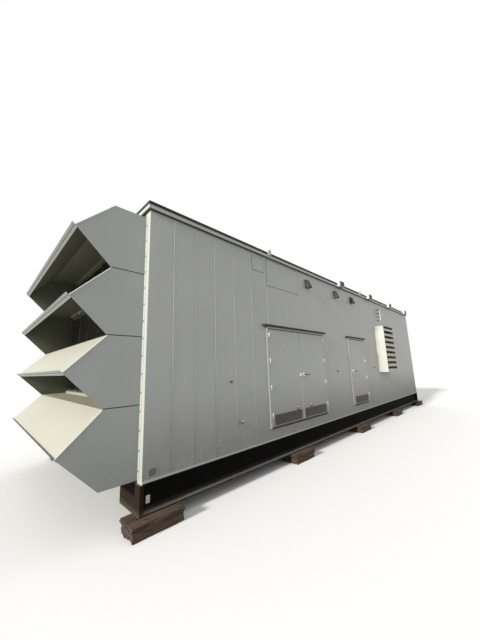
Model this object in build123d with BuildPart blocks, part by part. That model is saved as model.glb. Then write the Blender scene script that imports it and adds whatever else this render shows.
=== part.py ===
from build123d import *
from math import sqrt
import os

os.makedirs("parts", exist_ok=True)

# A walk-in weather enclosure for a diesel generating set. It stands on a black steel
# skid with timber packing, and takes its air through four hoods on the left end.
# +X runs along the length, +Y from the front to the back, +Z up.

# Driving dimensions, in millimetres

# Enclosure body
body_length = 15200
body_width = 4900
wall_height = 4210
wall_thickness = 100
floor_rise = 265  # walking surface above the foot of the walls
floor_thickness = 10
base_strip_height = 42
base_strip_depth = 12

# Panel seams of the front, from the left end of the body
panel_seams = (449, 894, 1350, 1872, 2402, 11740, 12040)
seam_width = 8
seam_depth = 3

# Roof
trim_height = 80
trim_depth = 150
trim_overhang = 50
roof_thickness = 40

# Skid and packing
skid_height = 405
flange_depth = 105
flange_thickness = 27
rail_web = 20
end_plate_width = 680
end_plate_thickness = 60
end_plate_proud = 25  # how far an end plate stands past the end of the body
beam_count = 11
beam_height = 450
beam_flange = 150
beam_flange_thickness = 20
beam_web = 12
timber_height = 190  # sleepers with boards on them
board_height = 42
board_out = 14  # how far a board reaches past its sleeper
timber_width = 205
timber_length = 810
timber_out = 177  # how far the packing reaches in front of the rail
timber_past_end = 200  # how far the packing reaches past the end of the skid
timber_gap = 6
timber_stations = 5

# Intake hoods, four in a stack
hood_count = 4
hood_module = 1021.5
hood_foot = 36  # underside of the lowest hood above the foot of the walls
hood_inset = 145  # from the corner of the body to the side of a hood
stub_depth = 522
sheet = 4
sheet_joint = 2
lip_reach = 45  # how far the strip along a hood's nose stands past it
lip_return = 50  # how far the strip covers the mouth
hood_flange_width = 55
intake_margin = 260  # from the corner of the body to the air opening
intake_rail = 120
post_count = 5  # posts across each air opening, for the wire guards
post_width = 30
post_depth = 20
post_set_back = 30

# Doors
leaf_width = 1219
leaf_height = 2134
leaf_thickness = 50
leaf_foot = 290  # underside of a leaf above the foot of the walls
double_door_x = 4125  # middle of the doorway, from the left end of the body
single_door_x = 7825
hinge_gap = 6
meeting_gap = 8
head_gap = 6
foot_gap = 8
frame_face = 60
frame_proud = 30
stop_width = 20
stop_gap = 5
cap_height = 40
cap_depth = 75
cap_past_frame = 100
cap_slope = 15
kick_height = 220
kick_foot = 20
kick_margin = 75
kick_thickness = 3
strip_width = 30
strip_thickness = 4

# Hinges, four on each leaf
hinge_count = 4
hinge_foot = 180  # lowest hinge above the underside of the leaf
hinge_head = 84  # highest hinge below the top of the leaf
hinge_height = 110
hinge_plate = 45
hinge_thickness = 4
knuckle_radius = 11
hinge_pin_radius = 5
pin_clearance = 0.5
knuckle_gap = 0.3

# Latches, their keepers and levers, and foot bolts
lever_height = 1065  # above the underside of the leaf
lever_inset = 65
lever_length = 210
lever_width = 22
lever_thickness = 12
lever_stand_off = 85
lever_bend = 22
spindle_radius = 8
spindle_clearance = 0.3
latch_width = 64
latch_height = 90
latch_thickness = 40
latch_gap = 0.3
keeper_width = 50
keeper_height = 66
keeper_thickness = 26
keeper_inset = 5
bolt_height = 310
bolt_inset = 255
bolt_radius = 16
bolt_length = 30

# Louvred hood at the right of the front
louvre_x = 9930
louvre_foot = 1250
louvre_width = 1250
louvre_height = 1870
louvre_depth = 343
louvre_rim = 50  # the wall opening is this much smaller than the casing all round
louvre_flange = 35
blade_count = 9
blade_slope = 110
blade_face = 85
blade_gap = 0.3

# Small pieces of the front
lamp_places = (4795, 6545, 7825)
lamp_foot = 3785
lamp_width = 190
lamp_height = 235
lamp_depth = 110
lamp_top_depth = 35
lamp_lip = 35
lens_recess = 20
lens_border = 18
big_panel = (2960, 3500, 1330, 650)  # place, foot, width and height
small_panel = (2460, 3785, 390, 335)
rating_panel = (86, 82, 127, 108)
skid_panel = (105, -288, 62, 105)
panel_thickness = 4
boss_places = ((1720, 1310), (6210, 1390), (9370, 1440))
boss_radius = 20
boss_depth = 30
tap_place = (1940, 544)
tap_reach = 70
bracket_place = (10440, 3420)
bracket_width = 40
bracket_height = 490
bracket_depth = 145
bracket_bar = 25
bracket_arms = 4
arm_height = 30

# Pieces of the roof edge
lug_from_left = 3050
lugs_from_right = (6560, 970)
lug_width = 110
lug_height = 150
lug_corner = 30
lug_hole_radius = 27
lug_thickness = 20
boxes_from_right = (8320, 5690, 3150, 590)
box_length = 340
box_depth = 100
box_height = 190
box_slot_height = 35
box_slot_depth = 25
box_slot_margin = 30

# Values worked out from the sizes above
hood_scoop = hood_module / 2
hood_reach = stub_depth + hood_scoop + (lip_reach + sheet) / sqrt(2)
right_reach = max(timber_past_end, trim_overhang)
front_reach = max(louvre_depth, timber_out)
back_reach = max(timber_out, trim_overhang + lug_thickness)
left_x = (hood_reach - body_length - right_reach) / 2
right_x = left_x + body_length
front_y = (front_reach - body_width - back_reach) / 2
back_y = front_y + body_width
mid_y = (front_y + back_y) / 2
deck_z = timber_height + skid_height
eave_z = deck_z + wall_height
roof_z = eave_z + trim_height
roof_top_z = roof_z + roof_thickness
floor_z = deck_z + floor_rise
hood_width = body_width - 2 * hood_inset
hood_front_y = front_y + hood_inset
hood_top_z = deck_z + hood_foot + hood_count * hood_module
leaf_z = deck_z + leaf_foot
leaf_top_z = leaf_z + leaf_height
leaf_y = front_y - frame_proud  # outer face of the leaves and of their frames
head_z = leaf_top_z + head_gap
frame_top_z = head_z + frame_face
hinge_axis_y = leaf_y - knuckle_radius - 1
hinge_pitch = (leaf_height - hinge_height - hinge_foot - hinge_head) / (hinge_count - 1)
hinge_heights = [hinge_foot + i * hinge_pitch for i in range(hinge_count)]
lug_xs = [left_x + lug_from_left] + [right_x - inset for inset in lugs_from_right]
double_opening = 2 * leaf_width + meeting_gap + 2 * hinge_gap
single_opening = leaf_width + 2 * hinge_gap
doorways = (
    (left_x + double_door_x, double_opening),
    (left_x + single_door_x, single_opening),
)
corner = (Align.MIN, Align.MIN, Align.MIN)
standing = (Align.CENTER, Align.CENTER, Align.MIN)


# Timber packing: pairs of short sleepers under both rails, each with a board on it
station_pitch = (body_length + 2 * timber_past_end - timber_length) / (timber_stations - 1)
board_ys = [front_y - timber_out, front_y - timber_out + timber_width + timber_gap]
board_ys += [front_y + back_y - y - timber_width for y in board_ys]
board_places = [
    (left_x - timber_past_end + i * station_pitch, y)
    for i in range(timber_stations)
    for y in board_ys
]
sleeper_height = timber_height - board_height
with BuildPart() as timber_packing:
    with Locations([(x + board_out, y + board_out, 0) for x, y in board_places]):
        Box(
            timber_length - 2 * board_out,
            timber_width - 2 * board_out,
            sleeper_height,
            align=corner,
        )
timber_packing.part.label = "timber_packing"
export_step(timber_packing.part, "parts/timber_packing.step")

with BuildPart() as timber_boards:
    with Locations([(x, y, sleeper_height) for x, y in board_places]):
        Box(timber_length, timber_width, board_height, align=corner)
timber_boards.part.label = "timber_boards"
export_step(timber_boards.part, "parts/timber_boards.step")


# Skid: two channels that open outwards, closed at both ends by wide plates
def rail_profile(outer_y, inward):
    """Channel section on the YZ plane, its web on the inner side."""
    web_y = outer_y + inward * flange_depth
    inner_y = web_y - inward * rail_web
    low, high = timber_height, deck_z
    return [
        (outer_y, low),
        (web_y, low),
        (web_y, high),
        (outer_y, high),
        (outer_y, high - flange_thickness),
        (inner_y, high - flange_thickness),
        (inner_y, low + flange_thickness),
        (outer_y, low + flange_thickness),
    ]


def make_rail(outer_y, inward):
    with BuildPart() as rail:
        with BuildSketch(Plane.YZ.offset(left_x)):
            with BuildLine():
                Polyline(rail_profile(outer_y, inward), close=True)
            make_face()
        extrude(amount=body_length)
        plate_y = outer_y + inward * end_plate_width / 2
        outer_x = (left_x - end_plate_proud, right_x + end_plate_proud - end_plate_thickness)
        for plate_x in outer_x:
            with Locations((plate_x + end_plate_thickness / 2, plate_y, timber_height)):
                Box(end_plate_thickness, end_plate_width, skid_height, align=standing)
    return rail


skid_front_rail = make_rail(front_y, 1)
skid_front_rail.part.label = "skid_front_rail"
export_step(skid_front_rail.part, "parts/skid_front_rail.step")

skid_back_rail = make_rail(back_y, -1)
skid_back_rail.part.label = "skid_back_rail"
export_step(skid_back_rail.part, "parts/skid_back_rail.step")

# Floor beams: I sections from web to web of the rails, up to the floor plate
beam_low = floor_z - floor_thickness - beam_height
beam_high = floor_z - floor_thickness
beam_span = body_width - 2 * flange_depth
beam_pitch = (body_length - 2 * wall_thickness - beam_flange) / (beam_count - 1)
with BuildPart() as floor_beams:
    for i in range(beam_count):
        beam_x = left_x + wall_thickness + beam_flange / 2 + i * beam_pitch
        with Locations((beam_x, mid_y, beam_low)):
            Box(beam_flange, beam_span, beam_flange_thickness, align=standing)
            Box(beam_web, beam_span, beam_height, align=standing)
        with Locations((beam_x, mid_y, beam_high - beam_flange_thickness)):
            Box(beam_flange, beam_span, beam_flange_thickness, align=standing)
floor_beams.part.label = "floor_beams"
export_step(floor_beams.part, "parts/floor_beams.step")

with BuildPart() as floor_plate:
    with Locations((left_x + body_length / 2, mid_y, floor_z - floor_thickness)):
        Box(
            body_length - 2 * wall_thickness,
            body_width - 2 * wall_thickness,
            floor_thickness,
            align=standing,
        )
floor_plate.part.label = "floor_plate"
export_step(floor_plate.part, "parts/floor_plate.step")


# Walls: insulated panels, mitred at the corners of the body
def wall_block(start, end, low, high, plane, mitre_start=False, mitre_end=False):
    """Slab of wall thickness behind the plane's origin line, seen from above."""
    t = wall_thickness
    outline = [(start, 0), (end, 0), (end - t * mitre_end, t), (start + t * mitre_start, t)]
    with BuildPart() as block:
        with BuildSketch(plane.offset(low)):
            with BuildLine():
                Polyline(outline, close=True)
            make_face()
        extrude(amount=high - low)
    return block.part


def seam_cutter(seam_x, plane, low, high):
    """Bar that cuts one upright seam into the outer face."""
    with BuildPart() as cutter:
        with BuildSketch(plane.offset(low)):
            with Locations((seam_x, 0)):
                Rectangle(seam_width, 2 * seam_depth)
        extrude(amount=high - low)
    return cutter.part


def make_wall(start, end, low, high, plane, seams=(), mitre_start=False, mitre_end=False):
    with BuildPart() as wall:
        add(wall_block(start, end, low, high, plane, mitre_start, mitre_end))
        for seam in seams:
            if start < seam < end:
                add(seam_cutter(seam, plane, low, high), mode=Mode.SUBTRACT)
    return wall


# Each plane has its X along the outer face and its Y into the wall
front_plane = Plane(origin=(left_x, front_y, 0), x_dir=(1, 0, 0), z_dir=(0, 0, 1))
back_plane = Plane(origin=(right_x, back_y, 0), x_dir=(-1, 0, 0), z_dir=(0, 0, 1))
left_plane = Plane(origin=(left_x, back_y, 0), x_dir=(0, -1, 0), z_dir=(0, 0, 1))
right_plane = Plane(origin=(right_x, front_y, 0), x_dir=(0, 1, 0), z_dir=(0, 0, 1))
double_left = double_door_x - double_opening / 2 - frame_face
double_right = double_door_x + double_opening / 2 + frame_face
single_left = single_door_x - single_opening / 2 - frame_face
single_right = single_door_x + single_opening / 2 + frame_face

front_wall_left = make_wall(
    0, double_left, deck_z, eave_z, front_plane, panel_seams, mitre_start=True
)
front_wall_left.part.label = "front_wall_left"
export_step(front_wall_left.part, "parts/front_wall_left.step")

front_wall_middle = make_wall(double_right, single_left, deck_z, eave_z, front_plane)
front_wall_middle.part.label = "front_wall_middle"
export_step(front_wall_middle.part, "parts/front_wall_middle.step")

with BuildPart() as front_wall_right:
    add(
        make_wall(
            single_right, body_length, deck_z, eave_z, front_plane, panel_seams, mitre_end=True
        ).part
    )
    with Locations(
        (left_x + louvre_x + louvre_rim, front_y - seam_depth, deck_z + louvre_foot + louvre_rim)
    ):
        Box(
            louvre_width - 2 * louvre_rim,
            wall_thickness + 2 * seam_depth,
            louvre_height - 2 * louvre_rim,
            align=corner,
            mode=Mode.SUBTRACT,
        )
front_wall_right.part.label = "front_wall_right"
export_step(front_wall_right.part, "parts/front_wall_right.step")

with BuildPart() as front_wall_over_doors:
    add(wall_block(double_left, double_right, frame_top_z, eave_z, front_plane))
    add(wall_block(single_left, single_right, frame_top_z, eave_z, front_plane))
front_wall_over_doors.part.label = "front_wall_over_doors"
export_step(front_wall_over_doors.part, "parts/front_wall_over_doors.step")

with BuildPart() as front_wall_under_doors:
    add(wall_block(double_left, double_right, deck_z, floor_z, front_plane))
    add(wall_block(single_left, single_right, deck_z, floor_z, front_plane))
front_wall_under_doors.part.label = "front_wall_under_doors"
export_step(front_wall_under_doors.part, "parts/front_wall_under_doors.step")

back_seams = [body_length - seam for seam in panel_seams]
back_wall = make_wall(
    0, body_length, deck_z, eave_z, back_plane, back_seams, mitre_start=True, mitre_end=True
)
back_wall.part.label = "back_wall"
export_step(back_wall.part, "parts/back_wall.step")

end_seams = [body_width / 2 + side * seam for side in (-1, 1) for seam in panel_seams[:5:2]]
right_end_wall = make_wall(
    0, body_width, deck_z, eave_z, right_plane, end_seams, mitre_start=True, mitre_end=True
)
right_end_wall.part.label = "right_end_wall"
export_step(right_end_wall.part, "parts/right_end_wall.step")

# The left end wall has four air openings, one behind each hood
with BuildPart() as left_end_wall_jambs:
    add(wall_block(0, intake_margin, deck_z, eave_z, left_plane, mitre_start=True))
    add(
        wall_block(
            body_width - intake_margin, body_width, deck_z, eave_z, left_plane, mitre_end=True
        )
    )
left_end_wall_jambs.part.label = "left_end_wall_jambs"
export_step(left_end_wall_jambs.part, "parts/left_end_wall_jambs.step")

rail_edges = [(deck_z, deck_z + hood_foot + intake_rail / 2)]
for i in range(1, hood_count):
    middle_z = deck_z + hood_foot + i * hood_module
    rail_edges.append((middle_z - intake_rail / 2, middle_z + intake_rail / 2))
rail_edges.append((hood_top_z - intake_rail / 2, eave_z))
with BuildPart() as left_end_wall_rails:
    for low, high in rail_edges:
        add(wall_block(intake_margin, body_width - intake_margin, low, high, left_plane))
left_end_wall_rails.part.label = "left_end_wall_rails"
export_step(left_end_wall_rails.part, "parts/left_end_wall_rails.step")

# Posts across the air openings, which carry the wire guards
post_pitch = (body_width - 2 * intake_margin) / (post_count + 1)
with BuildPart() as intake_posts:
    for (_, low), (high, _) in zip(rail_edges, rail_edges[1:]):
        for i in range(1, post_count + 1):
            post_y = front_y + intake_margin + i * post_pitch
            with Locations((left_x + post_set_back, post_y, low)):
                Box(
                    post_depth,
                    post_width,
                    high - low,
                    align=(Align.MIN, Align.CENTER, Align.MIN),
                )
intake_posts.part.label = "intake_posts"
export_step(intake_posts.part, "parts/intake_posts.step")

# Base strip along the foot of the walls, all but the end with the hoods
with BuildPart() as base_strip:
    for strip_y in (front_y - base_strip_depth, back_y):
        with Locations((left_x, strip_y, deck_z)):
            Box(body_length + base_strip_depth, base_strip_depth, base_strip_height, align=corner)
    with Locations((right_x, front_y + sheet_joint, deck_z)):
        Box(
            base_strip_depth,
            body_width - 2 * sheet_joint,
            base_strip_height,
            align=corner,
        )
base_strip.part.label = "base_strip"
export_step(base_strip.part, "parts/base_strip.step")

# Roof: a ring of trim on the walls, with the roof panel over it
with BuildPart() as roof_trim:
    for trim_y in (front_y - trim_overhang, back_y + trim_overhang - trim_depth):
        with Locations((left_x - trim_overhang, trim_y, eave_z)):
            Box(body_length + 2 * trim_overhang, trim_depth, trim_height, align=corner)
    for trim_x in (left_x - trim_overhang, right_x + trim_overhang - trim_depth):
        with Locations((trim_x, front_y - trim_overhang + trim_depth + sheet_joint, eave_z)):
            Box(
                trim_depth,
                body_width + 2 * trim_overhang - 2 * trim_depth - 2 * sheet_joint,
                trim_height,
                align=corner,
            )
roof_trim.part.label = "roof_trim"
export_step(roof_trim.part, "parts/roof_trim.step")

with BuildPart() as roof_panel:
    with Locations((left_x + body_length / 2, mid_y, roof_z)):
        Box(
            body_length + 2 * trim_overhang,
            body_width + 2 * trim_overhang,
            roof_thickness,
            align=standing,
        )
roof_panel.part.label = "roof_panel"
export_step(roof_panel.part, "parts/roof_panel.step")


# Intake hoods, all alike. In a hood's outline, u runs out of the wall and v down from
# the top of the hood; its mouth is the open side from the nose back to the stub's foot.
# A strip along the nose lies on the plane of the mouth and stands past the slope.
def hood_points(outline, top_z):
    """Places of the outline's points on the XZ plane."""
    return [(left_x - u, top_z - v) for u, v in outline]


bend = sheet * (sqrt(2) - 1)
side_outline = [
    (0, sheet),
    (stub_depth - bend, sheet),
    (stub_depth + hood_scoop - sheet / sqrt(2), hood_scoop + sheet / sqrt(2)),
    (stub_depth, hood_module),
    (0, hood_module),
]
nose_u = stub_depth + hood_scoop
nose_v = hood_scoop
lip = lip_reach / sqrt(2)
fold = lip_return / sqrt(2)
skin = sheet / sqrt(2)
cover_outline = [
    (0, 0),
    (stub_depth, 0),
    (nose_u, nose_v),
    (nose_u + lip, nose_v - lip),
    (nose_u + lip + skin, nose_v - lip + skin),
    (nose_u - fold + skin, nose_v + fold + skin),
    (nose_u - fold, nose_v + fold),
    (nose_u - skin, nose_v + skin),
    (stub_depth - bend, sheet),
    (0, sheet),
]
hood_tops = [hood_top_z - i * hood_module for i in range(hood_count)]

with BuildPart() as hood_side_panels:
    for top_z in hood_tops:
        for side_y in (hood_front_y, hood_front_y + hood_width - sheet):
            with BuildSketch(Plane.XZ.offset(-side_y)):
                with BuildLine():
                    Polyline(hood_points(side_outline, top_z), close=True)
                make_face()
            extrude(amount=-sheet)
hood_side_panels.part.label = "hood_side_panels"
export_step(hood_side_panels.part, "parts/hood_side_panels.step")

for number, top_z in enumerate(hood_tops, start=1):
    with BuildPart() as hood_cover:
        with BuildSketch(Plane.XZ.offset(-hood_front_y)):
            with BuildLine():
                Polyline(hood_points(cover_outline, top_z), close=True)
            make_face()
        extrude(amount=-hood_width)
    hood_cover.part.label = f"hood_{number}_cover"
    export_step(hood_cover.part, f"parts/hood_{number}_cover.step")

with BuildPart() as hood_floor:
    with Locations((left_x, mid_y, deck_z + hood_foot)):
        Box(stub_depth, hood_width, sheet, align=(Align.MAX, Align.CENTER, Align.MAX))
hood_floor.part.label = "hood_floor"
export_step(hood_floor.part, "parts/hood_floor.step")

# Flanges that bolt the hoods to the end wall
with BuildPart() as hood_flanges:
    for flange_y in (hood_front_y - hood_flange_width, hood_front_y + hood_width):
        with Locations((left_x - sheet, flange_y, deck_z + hood_foot)):
            Box(sheet, hood_flange_width, hood_count * hood_module, align=corner)
hood_flanges.part.label = "hood_flanges"
export_step(hood_flanges.part, "parts/hood_flanges.step")

# Door frames
frame_depth = frame_proud + wall_thickness
stop_y = leaf_y + leaf_thickness + stop_gap
stop_depth = frame_depth - leaf_thickness - stop_gap
with BuildPart() as door_jambs:
    for door_x, opening in doorways:
        for side in (-1, 1):
            face_x = door_x + side * opening / 2
            outward = Align.MIN if side > 0 else Align.MAX
            inward = Align.MAX if side > 0 else Align.MIN
            with Locations((face_x, leaf_y, floor_z)):
                Box(
                    frame_face,
                    frame_depth,
                    head_z - floor_z,
                    align=(outward, Align.MIN, Align.MIN),
                )
            with Locations((face_x, stop_y, floor_z)):
                Box(
                    stop_width,
                    stop_depth,
                    head_z - floor_z,
                    align=(inward, Align.MIN, Align.MIN),
                )
    # keeper of the single door's latch
    keeper_x = left_x + single_door_x - single_opening / 2 - keeper_inset
    with Locations((keeper_x, leaf_y, leaf_z + lever_height)):
        Box(
            keeper_width,
            keeper_thickness,
            keeper_height,
            align=(Align.MAX, Align.MAX, Align.CENTER),
        )
door_jambs.part.label = "door_jambs"
export_step(door_jambs.part, "parts/door_jambs.step")

with BuildPart() as door_heads:
    for door_x, opening in doorways:
        with Locations((door_x, leaf_y, head_z)):
            Box(
                opening + 2 * frame_face,
                frame_depth,
                frame_face,
                align=(Align.CENTER, Align.MIN, Align.MIN),
            )
door_heads.part.label = "door_heads"
export_step(door_heads.part, "parts/door_heads.step")

with BuildPart() as door_thresholds:
    for door_x, opening in doorways:
        with Locations((door_x, leaf_y, floor_z)):
            Box(
                opening - 2 * stop_width,
                frame_depth,
                leaf_foot - foot_gap - floor_rise,
                align=(Align.CENTER, Align.MIN, Align.MIN),
            )
door_thresholds.part.label = "door_thresholds"
export_step(door_thresholds.part, "parts/door_thresholds.step")

# Drip caps over the doors
with BuildPart() as door_drip_caps:
    for door_x, opening in doorways:
        half = opening / 2 + frame_face + cap_past_frame
        with BuildSketch(Plane.YZ.offset(door_x - half)):
            with BuildLine():
                Polyline(
                    (front_y, frame_top_z),
                    (front_y, frame_top_z + cap_height + cap_slope),
                    (front_y - cap_depth, frame_top_z + cap_height),
                    (front_y - cap_depth, frame_top_z),
                    close=True,
                )
            make_face()
        extrude(amount=2 * half)
door_drip_caps.part.label = "door_drip_caps"
export_step(door_drip_caps.part, "parts/door_drip_caps.step")

# Door leaves: name, left edge, which side the hinges are on, and the lever's place
double_start = left_x + double_door_x - double_opening / 2 + hinge_gap
right_start = double_start + leaf_width + meeting_gap
single_start = left_x + single_door_x - single_opening / 2 + hinge_gap
leaves = {
    "left": (double_start, -1, None),
    "right": (right_start, 1, right_start + lever_inset),
    "single": (single_start, 1, single_start + lever_inset),
}
lever_z = leaf_z + lever_height

for name, (start_x, hinge_side, lever_x) in leaves.items():
    with BuildPart() as leaf:
        with Locations((start_x, leaf_y, leaf_z)):
            Box(leaf_width, leaf_thickness, leaf_height, align=corner)
        if lever_x is not None:
            with Locations(Plane(origin=(lever_x, leaf_y, lever_z), z_dir=(0, -1, 0))):
                Hole(spindle_radius + spindle_clearance, depth=leaf_thickness)
    leaf.part.label = f"{name}_leaf"
    export_step(leaf.part, f"parts/{name}_leaf.step")

    with BuildPart() as kick_plate:
        with Locations((start_x + kick_margin, leaf_y - kick_thickness, leaf_z + kick_foot)):
            Box(leaf_width - 2 * kick_margin, kick_thickness, kick_height, align=corner)
    kick_plate.part.label = f"{name}_kick_plate"
    export_step(kick_plate.part, f"parts/{name}_kick_plate.step")

with BuildPart() as meeting_strip:
    with Locations((right_start, leaf_y - strip_thickness, leaf_z)):
        Box(strip_width, strip_thickness, leaf_height, align=corner)
meeting_strip.part.label = "meeting_strip"
export_step(meeting_strip.part, "parts/meeting_strip.step")


# Lift-off hinges: the lower knuckle and the pin on the frame, the upper on the leaf
half_knuckle = hinge_height / 2


def hinge_axis_x(start_x, hinge_side):
    """The axis stands over the middle of the gap between leaf and frame."""
    edge = start_x if hinge_side < 0 else start_x + leaf_width
    return edge + hinge_side * hinge_gap / 2


def hinge_half(axis_x, low, side, knuckle_low, bored):
    """Plate to one side of the axis with one knuckle; side is the way it points."""
    reach = knuckle_radius + 1
    with BuildPart() as half:
        with Locations((axis_x + side * reach, leaf_y, low)):
            Box(
                hinge_plate,
                hinge_thickness,
                hinge_height,
                align=(Align.MIN if side > 0 else Align.MAX, Align.MAX, Align.MIN),
            )
        with Locations((axis_x, leaf_y, knuckle_low)):
            Box(
                reach + hinge_plate / 2,
                hinge_thickness,
                half_knuckle - knuckle_gap,
                align=(Align.MIN if side > 0 else Align.MAX, Align.MAX, Align.MIN),
            )
        with Locations((axis_x, hinge_axis_y, knuckle_low)):
            Cylinder(knuckle_radius, half_knuckle - knuckle_gap, align=standing)
        if bored:
            with Locations((axis_x, hinge_axis_y, knuckle_low)):
                Cylinder(
                    hinge_pin_radius + pin_clearance,
                    half_knuckle,
                    align=standing,
                    mode=Mode.SUBTRACT,
                )
        else:
            with Locations((axis_x, hinge_axis_y, low)):
                Cylinder(hinge_pin_radius, hinge_height, align=standing)
    return half.part


with BuildPart() as frame_hinges:
    for start_x, hinge_side, _ in leaves.values():
        for height in hinge_heights:
            low = leaf_z + height
            axis_x = hinge_axis_x(start_x, hinge_side)
            add(hinge_half(axis_x, low, hinge_side, low, bored=False))
frame_hinges.part.label = "frame_hinges"
export_step(frame_hinges.part, "parts/frame_hinges.step")

for name, (start_x, hinge_side, lever_x) in leaves.items():
    with BuildPart() as leaf_fittings:
        for height in hinge_heights:
            low = leaf_z + height
            axis_x = hinge_axis_x(start_x, hinge_side)
            add(hinge_half(axis_x, low, -hinge_side, low + half_knuckle, bored=True))
        if name != "single":
            bolt_x = start_x + (leaf_width - bolt_inset if hinge_side < 0 else bolt_inset + 95)
            with BuildSketch(Plane.XZ.offset(-leaf_y)):
                with Locations((bolt_x, leaf_z + bolt_height)):
                    Circle(bolt_radius)
            extrude(amount=bolt_length)
        if name == "left":
            with Locations((start_x + leaf_width - keeper_inset, leaf_y, lever_z)):
                Box(
                    keeper_width,
                    keeper_thickness,
                    keeper_height,
                    align=(Align.MAX, Align.MAX, Align.CENTER),
                )
        if lever_x is not None:
            with BuildSketch(Plane.XZ.offset(-leaf_y)):
                with Locations((lever_x, lever_z)):
                    Rectangle(latch_width, latch_height)
                    Circle(spindle_radius + spindle_clearance, mode=Mode.SUBTRACT)
            extrude(amount=latch_thickness)
    leaf_fittings.part.label = f"{name}_leaf_fittings"
    export_step(leaf_fittings.part, f"parts/{name}_leaf_fittings.step")

# Lever handles: a spindle through the leaf and an arm that points to the right
for name, (start_x, hinge_side, lever_x) in leaves.items():
    if lever_x is None:
        continue
    with BuildPart() as lever:
        with BuildSketch(Plane.XZ.offset(-leaf_y - leaf_thickness)):
            with Locations((lever_x, lever_z)):
                Circle(spindle_radius)
        extrude(amount=leaf_thickness + latch_thickness + latch_gap)
        with BuildLine():
            neck_y = leaf_y - latch_thickness - latch_gap
            FilletPolyline(
                (lever_x, neck_y, lever_z),
                (lever_x, leaf_y - lever_stand_off, lever_z),
                (lever_x + lever_length, leaf_y - lever_stand_off, lever_z),
                radius=lever_bend,
            )
        neck = Plane(origin=(lever_x, neck_y, lever_z), x_dir=(1, 0, 0), z_dir=(0, -1, 0))
        with BuildSketch(neck):
            Rectangle(lever_thickness, lever_width)
        sweep()
    lever.part.label = f"{name}_lever"
    export_step(lever.part, f"parts/{name}_lever.step")

# Louvred hood: a sheet casing round the opening, with sloped blades across it
casing_x = left_x + louvre_x + louvre_width / 2
casing_z = deck_z + louvre_foot + louvre_height / 2
casing_front_y = front_y - louvre_depth
with BuildPart() as louvre_casing:
    with BuildSketch(Plane.XZ.offset(-front_y)):
        with Locations((casing_x, casing_z)):
            Rectangle(louvre_width, louvre_height)
            Rectangle(louvre_width - 2 * sheet, louvre_height - 2 * sheet, mode=Mode.SUBTRACT)
    extrude(amount=louvre_depth)
    with BuildSketch(Plane.XZ.offset(-casing_front_y)):
        with Locations((casing_x, casing_z)):
            Rectangle(louvre_width, louvre_height)
            Rectangle(louvre_width - 2 * louvre_flange, louvre_height, mode=Mode.SUBTRACT)
    extrude(amount=-sheet)
louvre_casing.part.label = "louvre_casing"
export_step(louvre_casing.part, "parts/louvre_casing.step")

blade_rise = blade_face + blade_slope + sheet
blade_pitch = (louvre_height - 2 * sheet - 2 * blade_gap - blade_rise) / (blade_count - 1)
blade_length = louvre_width - 2 * sheet - 2 * blade_gap
blade_low = deck_z + louvre_foot + sheet + blade_gap
blade_front_y = casing_front_y + sheet + blade_gap  # the blades stand behind the flanges
with BuildPart() as louvre_blades:
    for i in range(blade_count):
        top = blade_low + i * blade_pitch + blade_face
        with BuildSketch(Plane.YZ.offset(casing_x - blade_length / 2)):
            with BuildLine():
                Polyline(
                    (blade_front_y, top - blade_face),
                    (blade_front_y + sheet, top - blade_face),
                    (blade_front_y + sheet, top - bend),
                    (blade_front_y + blade_slope, top - bend + blade_slope - sheet),
                    (blade_front_y + blade_slope, top + blade_slope),
                    (blade_front_y, top),
                    close=True,
                )
            make_face()
        extrude(amount=blade_length)
louvre_blades.part.label = "louvre_blades"
export_step(louvre_blades.part, "parts/louvre_blades.step")

# Wall lamps: sloped housings with a recessed lens underneath
with BuildPart() as wall_lamps:
    for place in lamp_places:
        low = deck_z + lamp_foot
        with BuildSketch(Plane.YZ.offset(left_x + place - lamp_width / 2)):
            with BuildLine():
                Polyline(
                    (front_y, low),
                    (front_y, low + lamp_height),
                    (front_y - lamp_top_depth, low + lamp_height),
                    (front_y - lamp_depth, low + lamp_lip),
                    (front_y - lamp_depth, low),
                    close=True,
                )
            make_face()
        extrude(amount=lamp_width)
        with Locations((left_x + place, front_y - lamp_depth / 2, low)):
            Box(
                lamp_width - 2 * lens_border,
                lamp_depth - 2 * lens_border,
                lens_recess,
                align=standing,
                mode=Mode.SUBTRACT,
            )
wall_lamps.part.label = "wall_lamps"
export_step(wall_lamps.part, "parts/wall_lamps.step")

# Plates on the front: two access covers and two bare plates
with BuildPart() as wall_plates:
    for place, foot, width, height in (big_panel, small_panel, rating_panel):
        with Locations((left_x + place, front_y - panel_thickness, deck_z + foot)):
            Box(width, panel_thickness, height, align=corner)
wall_plates.part.label = "wall_plates"
export_step(wall_plates.part, "parts/wall_plates.step")

web_y = front_y + flange_depth - rail_web
with BuildPart() as skid_plate:
    place, foot, width, height = skid_panel
    with Locations((left_x + place, web_y - panel_thickness, deck_z + foot)):
        Box(width, panel_thickness, height, align=corner)
skid_plate.part.label = "skid_plate"
export_step(skid_plate.part, "parts/skid_plate.step")

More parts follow.
